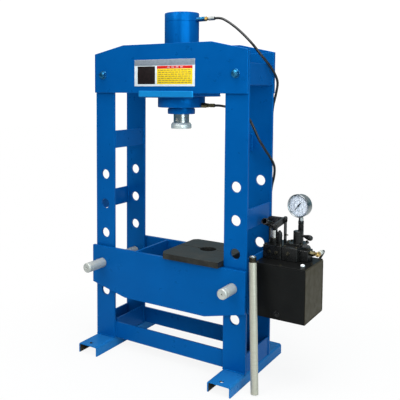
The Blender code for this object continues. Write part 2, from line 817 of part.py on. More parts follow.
def port_elbow():
    """The side port: a nut on the valve block, a hex elbow and a ferrule that points back."""
    start = PORT_FACE + GAP
    nut = stepped((0.0118, 0.018), (0.0075, ELBOW_X - start))
    place = (start, ELBOW_Y, ELBOW_LEVEL)
    corner = (ELBOW_X, ELBOW_Y, ELBOW_LEVEL)
    body = turned("port_elbow", BRASS, nut, (1, 0, 0), place, 24)
    elbow = rod(ELBOW_RADIUS, -0.011, 0.011)
    tail = [
        (0, 0.005), (0.0075, 0.005), (0.0075, 0.016), (0.0088, 0.016),
        (0.0088, ELBOW_REACH), (0, ELBOW_REACH),
    ]
    boolean(body, turned("elbow_body", BRASS, elbow, (0, 1, 0), corner, 12), "UNION")
    boolean(body, turned("elbow_ferrule", BRASS, tail, (0, 1, 0), corner, 24), "UNION")


def port_rear():
    """The port in the valve block's back: a nut and a ferrule."""
    start = BLOCK_BACK + GAP
    steps = ((0.0115, 0.013), (0.0088, REAR_END - start))
    turned("port_rear", STEEL, stepped(*steps), (0, 1, 0), (REAR_PORT_X, start, 0.540), 24)


def smooth_route(points, spacing):
    """Points at an even spacing on one smooth curve through the route's points.

    Each end has one more point, which squares the hose's end face to its fitting.
    """
    knots = [Vector(p) for p in points]
    dense = []
    for i in range(len(knots) - 1):
        before = knots[max(i - 1, 0)]
        after = knots[min(i + 2, len(knots) - 1)]
        a, b = knots[i], knots[i + 1]
        pull = (b - a).length / 3
        leave = (b - before).normalized() * pull
        arrive = (after - a).normalized() * pull
        dense += interpolate_bezier(a, a + leave, b - arrive, b, 24)[:-1]
    dense.append(knots[-1])
    length = sum((b - a).length for a, b in zip(dense, dense[1:]))
    count = round(length / spacing)
    walked, placed, target = 0.0, [dense[0]], length / count
    for a, b in zip(dense, dense[1:]):
        step = (b - a).length
        while walked + step >= target * len(placed) and len(placed) < count:
            placed.append(a.lerp(b, (target * len(placed) - walked) / step))
        walked += step
    straight = 0.004
    first = dense[0] + (knots[1] - knots[0]).normalized() * straight
    last = dense[-1] + (knots[-2] - knots[-1]).normalized() * straight
    return [placed[0], first, *placed[1:], last, dense[-1]]


def hose(name, points):
    """A rubber hose as a round tube along its smooth route."""
    curve = bpy.data.curves.new(name, "CURVE")
    curve.dimensions = "3D"
    curve.bevel_depth = HOSE_RADIUS
    curve.bevel_resolution = 2
    curve.use_fill_caps = True
    curve.materials.append(RUBBER)
    spline = curve.splines.new("POLY")
    route = smooth_route(points, HOSE_SPACING)
    spline.points.add(len(route) - 1)
    for point, place in zip(spline.points, route):
        point.co = (*place, 1)
    obj = bpy.data.objects.new(name, curve)
    obj.parent = press
    bpy.context.scene.collection.objects.link(obj)


# From the barrel's upper port, round the right rear upright, to the rear port
UPPER_ROUTE = [
    (0.1683, 0.000, 1.5405), (0.188, 0.000, 1.5405), (0.211, 0.000, 1.534),
    (0.259, 0.000, 1.504), (0.306, 0.000, 1.465), (0.350, 0.000, 1.421),
    (0.380, 0.012, 1.380), (0.4015, 0.050, 1.338), (0.4085, 0.098, 1.300),
    (0.4075, 0.135, 1.262), (0.394, 0.1535, 1.215), (0.379, 0.1555, 1.150),
    (0.370, 0.152, 1.000), (0.368, 0.152, 0.800), (0.368, 0.168, 0.640),
    (0.374, 0.192, 0.545), (0.391, 0.213, 0.478), (0.421, 0.230, 0.432),
    (0.455, 0.240, 0.414), (0.490, 0.246, 0.417), (0.517, 0.249, 0.442),
    (0.529, 0.253, 0.480), (0.530, 0.2460, 0.514), (0.530, 0.225, 0.5345),
    (0.530, 0.192, 0.540), (0.530, 0.1816, 0.540),
]

# From the flange's lower port, round the same upright, to the side port's ferrule
LOWER_ROUTE = [
    (0.1713, 0.000, 1.160), (0.195, 0.000, 1.160), (0.225, 0.000, 1.156),
    (0.288, 0.000, 1.138), (0.334, 0.000, 1.110), (0.360, 0.001, 1.068),
    (0.381, 0.006, 1.022), (0.400, 0.032, 0.974), (0.4075, 0.078, 0.932),
    (0.4065, 0.117, 0.895), (0.393, 0.149, 0.850), (0.377, 0.163, 0.800),
    (0.368, 0.170, 0.740), (0.366, 0.186, 0.640), (0.370, 0.212, 0.520),
    (0.390, 0.230, 0.430), (0.438, 0.238, 0.370), (0.495, 0.237, 0.358),
    (0.543, 0.224, 0.384), (0.570, 0.205, 0.429), (0.587, 0.189, 0.473),
    (0.6000, 0.1795, 0.5060), (0.6130, 0.1700, 0.5275), (0.6225, 0.152, 0.5420),
    (0.626, 0.130, 0.547), (0.626, 0.1173, 0.547),
]


def handle_tube():
    """The loose pump handle, leaning against the bracket's outer face."""
    foot = Vector((0.4620, -0.178, 0.0030))
    head = Vector((0.4165, -0.1150, 0.5495))
    lean = head - foot
    length = lean.length
    outer, inner, tip, bevel = 0.0158, 0.0128, 0.026, 0.001
    thin = outer - 0.0012
    profile = [
        (inner, 0), (outer - bevel, 0), (outer, bevel), (outer, length - tip),
        (thin, length - tip), (thin, length - bevel), (thin - bevel, length), (inner, length),
    ]
    turned("handle_tube", STEEL, profile, lean, foot, 32)


uprights()
feet()
leg_braces()
rails()
beam_plates()
beam_sides()
tie_bolts()
label_plate()
cylinder_plate()
shelf_bar()
cylinder_barrel()
cylinder_flange()
gland_nut()
piston_rod()
ram_head()
bed_plates()
bed_ribs()
support_pins()
arbor_plates()
pump_bracket()
tank()
tank_lid()
filler_cap()
pump_block()
valve_block()
plunger()
lever_bracket()
pump_lever()
valve_body()
valve_lever()
gauge_case()
gauge_needle()
upper_fitting()
lower_fitting()
port_elbow()
port_rear()
hose("upper_hose", UPPER_ROUTE)
hose("lower_hose", LOWER_ROUTE)
handle_tube()
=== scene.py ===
"""Looks of the hydraulic shop press: materials, hoses, fittings, gauge, label and studio.

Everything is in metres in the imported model's frame: +Z up, the press's front faces -Y.
"""

from math import cos, pi, radians, sin

import bmesh
import bpy
from mathutils import Matrix, Vector, noise
from mathutils.geometry import interpolate_bezier


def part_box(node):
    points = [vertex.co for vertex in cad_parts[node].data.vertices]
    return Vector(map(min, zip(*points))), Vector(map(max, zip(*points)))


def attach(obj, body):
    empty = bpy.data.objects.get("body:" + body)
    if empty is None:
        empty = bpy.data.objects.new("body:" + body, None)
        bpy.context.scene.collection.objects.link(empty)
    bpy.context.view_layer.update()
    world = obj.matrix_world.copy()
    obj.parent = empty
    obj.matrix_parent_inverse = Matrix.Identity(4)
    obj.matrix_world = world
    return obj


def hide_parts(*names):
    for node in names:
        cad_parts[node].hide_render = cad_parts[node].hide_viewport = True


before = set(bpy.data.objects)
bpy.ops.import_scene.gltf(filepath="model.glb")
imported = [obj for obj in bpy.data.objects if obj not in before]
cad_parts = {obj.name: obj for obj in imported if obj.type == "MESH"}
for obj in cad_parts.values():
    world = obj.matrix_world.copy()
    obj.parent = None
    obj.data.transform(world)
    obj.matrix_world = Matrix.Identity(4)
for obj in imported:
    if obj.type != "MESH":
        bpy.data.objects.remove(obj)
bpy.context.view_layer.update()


def middle_of(node):
    """A CAD node's centre."""
    low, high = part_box(node)
    return (Vector(low) + Vector(high)) / 2


# The frame's own centre line: everything is placed from it.
FRAME_X = middle_of("beam_front").x
FRAME_Y = middle_of("foot_left").y

UP, RIGHT, BACK, FRONT = (0, 0, 1), (1, 0, 0), (0, 1, 0), (0, -1, 0)


def at(x, y, z):
    """A place on the press, measured from the frame's centre line."""
    return Vector((FRAME_X + x, FRAME_Y + y, z))


def added(name, data):
    """A new object in the scene."""
    made = bpy.data.objects.new(name, data)
    bpy.context.scene.collection.objects.link(made)
    return made


# -------- camera and studio


def camera():
    """The photo's camera, fitted from the frame's edges."""
    data = bpy.data.cameras.new("camera")
    data.sensor_width = 36
    data.lens = 55.9
    data.shift_x = 0.122
    data.shift_y = -0.1677
    data.clip_end = 50
    made = added("camera", data)
    made.location = at(1.4776, -2.4225, 1.2343)
    made.rotation_euler = (radians(85.906), radians(-0.1375), radians(34.167))
    bpy.context.scene.camera = made


def area_light(name, place, aim, size, power, colour=(1, 1, 1)):
    data = bpy.data.lights.new(name, "AREA")
    data.shape = "RECTANGLE"
    data.size, data.size_y = size
    data.energy = power
    data.color = colour
    made = added(name, data)
    made.location = place
    look = Vector(aim) - Vector(place)
    made.rotation_euler = look.to_track_quat("-Z", "Y").to_euler()


def studio():
    """Soft overcast light: bright above, blue-grey at the horizon, plain white behind."""
    world = bpy.data.worlds.new("studio")
    world.use_nodes = True
    tree = world.node_tree
    add, link = tree.nodes.new, tree.links.new
    background = tree.nodes["Background"]
    place = add("ShaderNodeTexCoord")
    split = add("ShaderNodeSeparateXYZ")
    sky = add("ShaderNodeValToRGB")
    seen = add("ShaderNodeLightPath")
    choose = add("ShaderNodeMix")
    choose.data_type = "RGBA"
    low, high = sky.color_ramp.elements
    low.position, low.color = 0.40, (0.04, 0.12, 0.16, 1)
    high.position, high.color = 0.85, (0.95, 0.98, 1.0, 1)
    level = sky.color_ramp.elements.new(0.56)
    level.color = (0.05, 0.24, 0.34, 1)
    half_up = add("ShaderNodeMath")
    half_up.operation = "MULTIPLY_ADD"
    for socket in half_up.inputs[1:3]:
        socket.default_value = 0.5
    link(place.outputs["Generated"], split.inputs[0])
    link(split.outputs["Z"], half_up.inputs[0])
    link(half_up.outputs[0], sky.inputs["Fac"])
    link(seen.outputs["Is Camera Ray"], choose.inputs[0])
    link(sky.outputs["Color"], choose.inputs[6])
    choose.inputs[7].default_value = (1.5, 1.5, 1.5, 1)
    link(choose.outputs[2], background.inputs["Color"])
    background.inputs["Strength"].default_value = 0.72
    bpy.context.scene.world = world
    bpy.context.scene.view_settings.view_transform = "Standard"
    area_light("key", (-1.0, -4.2, 3.4), (0, 0, 0.8), (2.2, 2.0), 84)
    area_light("fill", (3.3, -1.7, 1.9), (0.2, 0, 0.7), (2.4, 2.6), 105, (0.74, 0.93, 1.0))
    area_light("top", (0.2, -0.6, 3.9), (0, 0, 0.6), (2.6, 2.2), 125)
    area_light("strip", (2.3, -3.3, 2.3), (0, 0, 1.2), (0.35, 2.0), 34)


def floor():
    """A wide pale floor that runs into the white behind it without an edge."""
    bm = bmesh.new()
    bmesh.ops.create_grid(bm, x_segments=8, y_segments=8, size=14)
    mesh = bpy.data.meshes.new("floor")
    bm.to_mesh(mesh)
    bm.free()
    mesh.materials.append(floor_paper())
    made = added("floor", mesh)
    made.location = (0, 0, -0.0005)


# -------- material nodes


class Nodes:
    """A material's node tree, with short calls for the nodes used here."""

    def __init__(self, name):
        self.material = bpy.data.materials.new(name)
        self.material.use_nodes = True
        self.tree = self.material.node_tree
        self.shader = self.tree.nodes["Principled BSDF"]
        self.place = self.add("ShaderNodeTexCoord").outputs["Object"]

    def add(self, kind, **settings):
        node = self.tree.nodes.new(kind)
        for key, value in settings.items():
            setattr(node, key, value)
        return node

    def link(self, source, target):
        self.tree.links.new(source, target)

    def set(self, **values):
        """Constant values straight on the shader's own sockets."""
        for key, value in values.items():
            self.shader.inputs[key.replace("_", " ")].default_value = value

    def stretched(self, scale):
        """The object's own coordinates, stretched by a factor along each axis."""
        node = self.add("ShaderNodeMapping")
        node.inputs["Scale"].default_value = scale
        self.link(self.place, node.inputs["Vector"])
        return node.outputs["Vector"]

    def noise(self, scale, detail=3.0, roughness=0.55, where=None):
        node = self.add("ShaderNodeTexNoise")
        node.inputs["Scale"].default_value = scale
        node.inputs["Detail"].default_value = detail
        node.inputs["Roughness"].default_value = roughness
        self.link(where or self.place, node.inputs["Vector"])
        return node.outputs["Fac"]

    def cells(self, scale, where=None):
        node = self.add("ShaderNodeTexVoronoi")
        node.inputs["Scale"].default_value = scale
        self.link(where or self.place, node.inputs["Vector"])
        return node.outputs["Distance"]

    def ramp(self, source, stops):
        """A colour or grey from a number: stops are (position, colour or grey)."""
        node = self.add("ShaderNodeValToRGB")
        points = node.color_ramp.elements
        while len(points) < len(stops):
            points.new(0.5)
        for point, (position, value) in zip(points, stops):
            point.position = position
            grey = isinstance(value, (int, float))
            point.color = (value, value, value, 1) if grey else (*value, 1)
        self.link(source, node.inputs["Fac"])
        return node.outputs["Color"]

    def mix(self, factor, first, second):
        """A colour mix: factor is a socket or a number, the others sockets or colours."""
        node = self.add("ShaderNodeMix", data_type="RGBA")
        targets = (node.inputs[0], node.inputs[6], node.inputs[7])
        for target, value in zip(targets, (factor, first, second)):
            if isinstance(value, bpy.types.NodeSocket):
                self.link(value, target)
            elif isinstance(value, tuple):
                target.default_value = (*value, 1)
            else:
                target.default_value = value
        return node.outputs[2]

    def math(self, operation, first, second=0.0):
        node = self.add("ShaderNodeMath", operation=operation)
        for target, value in zip(node.inputs, (first, second)):
            if isinstance(value, bpy.types.NodeSocket):
                self.link(value, target)
            else:
                target.default_value = value
        return node.outputs[0]

    def bump(self, height, distance, strength=1.0, below=None):
        node = self.add("ShaderNodeBump")
        node.inputs["Distance"].default_value = distance
        node.inputs["Strength"].default_value = strength
        self.link(height, node.inputs["Height"])
        if below:
            self.link(below, node.inputs["Normal"])
        return node.outputs["Normal"]

    def colour(self, socket):
        self.link(socket, self.shader.inputs["Base Color"])

    def roughness(self, socket):
        self.link(socket, self.shader.inputs["Roughness"])

    def normal(self, socket):
        self.link(socket, self.shader.inputs["Normal"])


def floor_paper():
    """Matt white paper that glows to plain white a little way from the press."""
    n = Nodes("floor_paper")
    n.set(Roughness=0.9, Specular_IOR_Level=0.05)
    n.colour(n.ramp(n.noise(1.5), [(0.3, 0.54), (0.7, 0.56)]))
    seen = n.add("ShaderNodeLightPath").outputs["Is Camera Ray"]
    reach = n.add("ShaderNodeVectorMath", operation="LENGTH")
    n.link(n.place, reach.inputs[0])
    far = n.math("DIVIDE", reach.outputs["Value"], 2.0)
    glow = n.add("ShaderNodeEmission")
    blend = n.add("ShaderNodeMixShader")
    n.link(n.math("MULTIPLY", n.ramp(far, [(0.20, 0.88), (0.62, 1.0)]), seen), blend.inputs[0])
    n.link(n.shader.outputs[0], blend.inputs[1])
    n.link(glow.outputs[0], blend.inputs[2])
    n.link(blend.outputs[0], n.tree.nodes["Material Output"].inputs["Surface"])
    return n.material


def enamel_finish(n, tone):
    """Sprayed enamel's dust, fine scratches, orange peel and blue sheen over a tone."""
    dust = n.ramp(n.noise(60.0, 6, 0.7), [(0.58, 0.0), (0.78, 1.0)])
    tone = n.mix(n.math("MULTIPLY", dust, 0.07), tone, (0.012, 0.16, 0.38))
    scratch = n.noise(18.0, 4, 0.6, n.stretched((14, 14, 0.7)))
    fine = n.ramp(scratch, [(0.70, 0.0), (0.74, 1.0)])
    tone = n.mix(n.math("MULTIPLY", fine, 0.15), tone, (0.01, 0.22, 0.52))
    n.colour(tone)
    n.roughness(n.ramp(n.noise(24.0, 4), [(0.3, 0.26), (0.75, 0.40)]))
    peel = n.bump(n.noise(420.0, 2), 0.00022, 0.35)
    n.normal(n.bump(n.noise(26.0, 3), 0.0010, 0.22, peel))
    n.set(Metallic=0.25, Specular_IOR_Level=0.25, Specular_Tint=(0.03, 0.60, 0.90, 1))


def enamel(name, deep, pale):
    """Sprayed enamel on steel plate, faintly clouded."""
    n = Nodes(name)
    enamel_finish(n, n.ramp(n.noise(5.0, 5), [(0.3, deep), (0.7, pale)]))
    return n.material


def enamel_over_primer(name, centre, deep, pale):
    """A channel's enamel: the faces that look inwards keep their brown primer."""
    n = Nodes(name)
    shape = n.add("ShaderNodeNewGeometry")
    place = n.add("ShaderNodeSeparateXYZ")
    facing = n.add("ShaderNodeSeparateXYZ")
    n.link(shape.outputs["Position"], place.inputs[0])
    n.link(shape.outputs["True Normal"], facing.inputs[0])
    across = n.math("SUBTRACT", place.outputs["X"], centre)
    inward = n.math("LESS_THAN", n.math("MULTIPLY", across, facing.outputs["X"]), -0.001)
    under = n.math("LESS_THAN", facing.outputs["Z"], -0.3)
    inside = n.math("MAXIMUM", inward, under)
    primer = n.ramp(n.noise(30.0, 5), [(0.3, (0.030, 0.022, 0.012)), (0.7, (0.060, 0.045, 0.026))])
    enamelled = n.ramp(n.noise(5.0, 5), [(0.3, deep), (0.7, pale)])
    enamel_finish(n, n.mix(inside, enamelled, primer))
    return n.material


def turned_steel(name, dark, light, along, low=0.22, high=0.42, stains=0.55, metal=1.0):
    """Lathe-turned steel: fine rings across the axis, patchy polish, small stains."""
    n = Nodes(name)
    scale = tuple(1.0 if i == "XYZ".index(along) else 0.02 for i in range(3))
    rings = n.noise(1600.0, 2, 0.5, n.stretched(scale))
    patch = n.noise(35.0, 5, 0.6)
    tone = n.mix(n.ramp(rings, [(0.3, 0.0), (0.7, 1.0)]), dark, light)
    stain = n.ramp(patch, [(0.55, 0.0), (0.75, 1.0)])
    stained = tuple(0.55 * value for value in dark)
    n.colour(n.mix(n.math("MULTIPLY", stain, stains), tone, stained))
    n.roughness(n.ramp(patch, [(0.3, low), (0.75, high)]))
    n.normal(n.bump(rings, 0.00010, 0.35))
    n.set(Metallic=metal, Specular_IOR_Level=0.3)
    return n.material


def plain_steel(name, dark, light, low=0.25, high=0.45):
    """Plated or ground steel without a turning direction."""
    n = Nodes(name)
    grain = n.noise(700.0, 3)
    patch = n.noise(60.0, 5, 0.65)
    n.colour(n.ramp(patch, [(0.3, dark), (0.7, light)]))
    n.roughness(n.ramp(patch, [(0.3, low), (0.75, high)]))
    n.normal(n.bump(grain, 0.00008, 0.4))
    n.set(Metallic=1.0)
    return n.material


def arbor_steel():
    """Flame-cut plate with a ground, oiled top: grinding lines, mill scale and wear."""
    n = Nodes("arbor_steel")
    lines = n.noise(900.0, 2, 0.5, n.stretched((0.05, 1, 1)))
    scale = n.noise(22.0, 6, 0.7)
    tone = n.ramp(scale, [(0.28, (0.010, 0.0095, 0.008)), (0.52, (0.020, 0.019, 0.016)),
                          (0.75, (0.045, 0.043, 0.037))])
    ground = n.ramp(lines, [(0.35, 0.0), (0.7, 1.0)])
    n.colour(n.mix(n.math("MULTIPLY", ground, 0.35), tone, (0.034, 0.034, 0.030)))
    n.roughness(n.ramp(scale, [(0.3, 0.30), (0.7, 0.50)]))
    n.normal(n.bump(lines, 0.00012, 0.4, n.bump(scale, 0.0006, 0.3)))
    n.set(Metallic=0.35, Specular_IOR_Level=0.16)
    return n.material


def black_paint(name, deep, pale, rough=(0.30, 0.48)):
    """Satin black paint: a fine peel, a haze of dust and a painted warm sheen on the right-facing
    side.
    """
    n = Nodes(name)
    tone = n.ramp(n.noise(7.0, 5), [(0.3, deep), (0.7, pale)])
    dust = n.ramp(n.noise(90.0, 6, 0.7), [(0.56, 0.0), (0.8, 1.0)])
    tone = n.mix(n.math("MULTIPLY", dust, 0.12), tone, (0.05, 0.048, 0.040))
    facing = n.add("ShaderNodeSeparateXYZ")
    n.link(n.add("ShaderNodeNewGeometry").outputs["True Normal"], facing.inputs[0])
    # Painted sheen: faces turned to the right are mixed towards a warm brown that stands in for the
    # light falling on that side.
    painted_sheen_right_side = n.math("MULTIPLY", n.math("GREATER_THAN", facing.outputs["X"], 0.7), 0.8)
    n.colour(n.mix(painted_sheen_right_side, tone, (0.036, 0.026, 0.008)))
    n.roughness(n.ramp(n.noise(30.0, 4), [(0.3, rough[0]), (0.75, rough[1])]))
    peel = n.bump(n.noise(380.0, 2), 0.0002, 0.4)
    n.normal(n.bump(n.noise(22.0, 3), 0.0008, 0.25, peel))
    n.set(Specular_IOR_Level=0.09)
    return n.material


def black_casting():
    """Black-oxided cast iron: fine sand grain, oily patches, brighter rubbed spots."""
    n = Nodes("black_casting")
    grain = n.noise(520.0, 4, 0.65)
    patch = n.noise(48.0, 5, 0.6)
    tone = n.ramp(patch, [(0.3, (0.004, 0.004, 0.004)), (0.62, (0.012, 0.0115, 0.011)),
                          (0.8, (0.040, 0.038, 0.034))])
    n.colour(tone)
    n.roughness(n.ramp(patch, [(0.3, 0.16), (0.7, 0.40)]))
    n.normal(n.bump(grain, 0.00025, 0.5))
    n.set(Metallic=0.25, Specular_IOR_Level=0.26)
    return n.material


def hose_cover():
    """Wrapped rubber cover: a fine cloth weave and duller patches."""
    n = Nodes("hose_cover")
    weave = n.cells(620.0)
    patch = n.noise(40.0, 5, 0.6)
    n.colour(n.ramp(patch, [(0.3, (0.003, 0.003, 0.003)), (0.75, (0.010, 0.010, 0.009))]))
    n.roughness(n.ramp(patch, [(0.3, 0.24), (0.75, 0.40)]))
    n.normal(n.bump(weave, 0.00012, 0.4))
    n.set(Specular_IOR_Level=0.4)
    return n.material


def brass():
    n = Nodes("brass_fitting")
    patch = n.noise(80.0, 5, 0.6)
    n.colour(n.ramp(patch, [(0.3, (0.46, 0.27, 0.07)), (0.7, (0.86, 0.62, 0.26))]))
    n.roughness(n.ramp(patch, [(0.3, 0.18), (0.75, 0.36)]))
    n.normal(n.bump(n.noise(900.0, 2), 0.00006, 0.4))
    n.set(Metallic=1.0)
    return n.material


def moulded(name, deep, pale, rough=0.4, shine=0.35):
    """A plain printed or moulded surface with a fine grain."""
    n = Nodes(name)
    n.set(Specular_IOR_Level=shine)
    n.colour(n.ramp(n.noise(120.0, 4), [(0.3, deep), (0.7, pale)]))
    n.roughness(n.ramp(n.noise(45.0, 3), [(0.3, rough - 0.06), (0.7, rough + 0.08)]))
    n.normal(n.bump(n.noise(900.0, 2), 0.00005, 0.4))
    return n.material


def glass():
    n = Nodes("gauge_glass")
    n.roughness(n.ramp(n.noise(20.0, 3), [(0.3, 0.015), (0.75, 0.05)]))
    n.set(Base_Color=(1, 1, 1, 1), Transmission_Weight=1.0, IOR=1.12, Alpha=0.25)
    return n.material


BLUE = enamel("blue_enamel", (0.0003, 0.068, 0.255), (0.0005, 0.080, 0.290))
# A paler copy of the blue enamel: a painted highlight for the shelf bar's lit front edge.
BLUE_PAINTED_HIGHLIGHT = enamel("blue_enamel_painted_highlight", (0.004, 0.150, 0.400), (0.010, 0.210, 0.500))
BOLT_BLUE = plain_steel("blue_dusted_steel", (0.004, 0.11, 0.27), (0.06, 0.28, 0.46), 0.24, 0.38)
BLUE_TURNED = enamel("blue_enamel_turned", (0.0003, 0.068, 0.265), (0.0005, 0.082, 0.305))
ROD_STEEL = turned_steel("rod_steel", (0.36, 0.35, 0.33), (0.66, 0.65, 0.62), "Z", 0.14, 0.30)
HEAD_STEEL = turned_steel(
    "head_steel", (0.50, 0.52, 0.49), (0.70, 0.72, 0.69), "Z", 0.36, 0.52, 0.3, 0.6
)
PIN_STEEL = turned_steel(
    "pin_steel", (0.37, 0.37, 0.34), (0.48, 0.48, 0.44), "Y", 0.38, 0.52, 0.15, 0.45
)
TUBE_STEEL = turned_steel(
    "tube_steel", (0.36, 0.34, 0.27), (0.47, 0.44, 0.36), "Z", 0.34, 0.48, 0.12, 0.50
)
PLATED = plain_steel("plated_steel", (0.26, 0.27, 0.26), (0.48, 0.49, 0.48))
BEZEL = plain_steel("bezel_steel", (0.20, 0.22, 0.23), (0.34, 0.36, 0.37), 0.22, 0.38)
OLIVE = plain_steel("passivated_steel", (0.055, 0.046, 0.022), (0.17, 0.15, 0.085), 0.30, 0.48)
BAND = plain_steel("blackened_thread", (0.030, 0.026, 0.018), (0.085, 0.075, 0.055), 0.38, 0.55)
ARBOR = arbor_steel()
TANK_PAINT = black_paint("tank_paint", (0.003, 0.003, 0.003), (0.006, 0.006, 0.0055))
CASTING = black_casting()
HOSE = hose_cover()
BRASS = brass()
WHITE = moulded("white_plastic", (0.74, 0.74, 0.72), (0.86, 0.86, 0.85))
POINTER = moulded("pointer_black", (0.012, 0.012, 0.012), (0.03, 0.03, 0.03), 0.45)
DIAL_FACE = moulded("dial_face", (0.62, 0.65, 0.72), (0.72, 0.74, 0.80), 0.45)
DIAL_PRINT = moulded("dial_print", (0.020, 0.022, 0.026), (0.05, 0.05, 0.06), 0.5)
SHEET_WHITE = moulded("sheet_white", (0.52, 0.56, 0.58), (0.62, 0.66, 0.67), 0.35)
SHEET_GREY = moulded("sheet_grey", (0.15, 0.17, 0.20), (0.21, 0.23, 0.26), 0.45, 0.12)
SHEET_BLACK = moulded("sheet_black", (0.006, 0.004, 0.004), (0.013, 0.008, 0.008), 0.5, 0.08)
SHEET_YELLOW = moulded("sheet_yellow", (0.62, 0.42, 0.006), (0.74, 0.52, 0.012), 0.45, 0.10)
SHEET_RED = moulded("sheet_red", (0.42, 0.010, 0.006), (0.56, 0.016, 0.010), 0.45, 0.10)
GLASS = glass()


# -------- mesh helpers


def as_piece(name, bm, material, body, smooth=30):
    """The bmesh as a piece that rides on a body and carries the given material."""
    bmesh.ops.recalc_face_normals(bm, faces=bm.faces[:])
    mesh = bpy.data.meshes.new(name)
    bm.to_mesh(mesh)
    bm.free()
    mesh.materials.append(material)
    mesh.shade_smooth()
    mesh.set_sharp_from_angle(angle=radians(smooth))
    made = added(name, mesh)
    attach(made, body)
    return made


def paint_nodes(material, *nodes):
    """Puts a material on CAD nodes whose shape stays."""
    for node in nodes:
        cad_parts[node].data.materials.clear()
        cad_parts[node].data.materials.append(material)


# -------- hoses

HOSE_DIAMETER = 0.011
ROUTE_SPACING = 0.010

UPPER_ROUTE = [
    (0.1683, 0.000, 1.5405), (0.188, 0.000, 1.5405), (0.211, 0.000, 1.534),
    (0.259, 0.000, 1.504), (0.306, 0.000, 1.465), (0.350, 0.000, 1.421),
    (0.380, 0.012, 1.380), (0.4015, 0.050, 1.338), (0.4085, 0.098, 1.300),
    (0.4075, 0.135, 1.262), (0.394, 0.1535, 1.215), (0.379, 0.1555, 1.150),
    (0.370, 0.152, 1.000), (0.368, 0.152, 0.800), (0.368, 0.168, 0.640),
    (0.374, 0.192, 0.545), (0.391, 0.213, 0.478), (0.421, 0.230, 0.432),
    (0.455, 0.240, 0.414), (0.490, 0.246, 0.417), (0.517, 0.249, 0.442),
    (0.529, 0.253, 0.480), (0.530, 0.2460, 0.514), (0.530, 0.225, 0.5345),
    (0.530, 0.192, 0.540), (0.530, 0.1816, 0.540),
]

LOWER_ROUTE = [
    (0.1713, 0.000, 1.160), (0.195, 0.000, 1.160), (0.225, 0.000, 1.156),
    (0.288, 0.000, 1.138), (0.334, 0.000, 1.110), (0.360, 0.001, 1.068),
    (0.381, 0.006, 1.022), (0.400, 0.032, 0.974), (0.4075, 0.078, 0.932),
    (0.4065, 0.117, 0.895), (0.393, 0.149, 0.850), (0.377, 0.163, 0.800),
    (0.368, 0.170, 0.740), (0.366, 0.186, 0.640), (0.370, 0.212, 0.520),
    (0.390, 0.230, 0.430), (0.438, 0.238, 0.370), (0.495, 0.237, 0.358),
    (0.543, 0.224, 0.384), (0.570, 0.205, 0.429), (0.587, 0.189, 0.473),
    (0.6000, 0.1795, 0.5060), (0.6130, 0.1700, 0.5275), (0.6225, 0.152, 0.5420),
    (0.626, 0.130, 0.547), (0.626, 0.1173, 0.547),
]


def smooth_route(points, spacing):
    """Points at an even spacing on one smooth curve through the route's points."""
    knots = [at(*p) for p in points]
    dense = []
    for i in range(len(knots) - 1):
        before = knots[max(i - 1, 0)]
        after = knots[min(i + 2, len(knots) - 1)]
        a, b = knots[i], knots[i + 1]
        pull = (b - a).length / 3
        leave = (b - before).normalized() * pull
        arrive = (after - a).normalized() * pull
        dense += interpolate_bezier(a, a + leave, b - arrive, b, 24)[:-1]
    dense.append(knots[-1])
    length = sum((b - a).length for a, b in zip(dense, dense[1:]))
    count = round(length / spacing)
    walked, placed, step_length = 0.0, [dense[0]], length / count
    for a, b in zip(dense, dense[1:]):
        step = (b - a).length
        while walked + step >= step_length * len(placed) and len(placed) < count:
            placed.append(a.lerp(b, (step_length * len(placed) - walked) / step))
        walked += step
    return [*placed, dense[-1]], length


def hose(name, node, points):
    route, length = smooth_route(points, ROUTE_SPACING)
    curve = bpy.data.curves.new(name, "CURVE")
    curve.dimensions = "3D"
    curve.bevel_depth = HOSE_DIAMETER / 2
    curve.bevel_resolution = 6
    curve.use_fill_caps = True
    curve.materials.append(HOSE)
    spline = curve.splines.new("POLY")
    spline.points.add(len(route) - 1)
    for point, place in zip(spline.points, route):
        point.co = (*place, 1)
    made = added(name, curve)
    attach(made, "frame")
    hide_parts(node)


# -------- shapes for the details


def turned_points(bm, base, along, radius_at, heights, steps):
    """Rings of points round an axis: radius_at(level, angle) gives (radius, height)."""
    turn = Vector(UP).rotation_difference(Vector(along)).to_matrix()
    rings = []
    for level in range(heights):
        ring = []
        for i in range(steps):
            angle = 2 * pi * i / steps
            radius, height = radius_at(level, angle)
            spot = Vector((radius * cos(angle), radius * sin(angle), height))
            ring.append(bm.verts.new(Vector(base) + turn @ spot))
        rings.append(ring)
    return rings


def join_rings(bm, rings):
    for first, second in zip(rings, rings[1:]):
        for i in range(len(first)):
            j = (i + 1) % len(first)
            bm.faces.new((first[i], first[j], second[j], second[i]))


def closed_rings(bm, rings):
    """Joins rings into a solid with a flat face at each end."""
    join_rings(bm, rings)
    bm.faces.new(rings[0])
    bm.faces.new(rings[-1])


def turned_rings(bm, profile, base, along, steps):
    """Rings of points round an axis from (radius, height) pairs."""
    return turned_points(bm, base, along, lambda level, angle: profile[level], len(profile), steps)


def lathe(bm, profile, base, along=UP, steps=48):
    """Adds a solid of revolution from (radius, height) pairs; flat ends are closed."""
    closed_rings(bm, turned_rings(bm, profile, base, along, steps))


def tube(bm, profile, base, along=UP, steps=48):
    """Adds a ring of revolution: the profile's last point joins its first."""
    rings = turned_rings(bm, profile, base, along, steps)
    join_rings(bm, [*rings, rings[0]])


def nut(bm, flat, low, high, base, along):
    """Adds a hexagon whose corners are rounded off towards both ends."""
    round_end = 0.96 * flat

    def shape(level, angle):
        corner = flat / cos((angle + pi / 6) % (pi / 3) - pi / 6)
        cut = 0.55 * (corner - round_end)
        ends = ((round_end, low), (corner, low + cut), (corner, high - cut), (round_end, high))
        return ends[level]

    closed_rings(bm, turned_points(bm, base, along, shape, 4, 60))


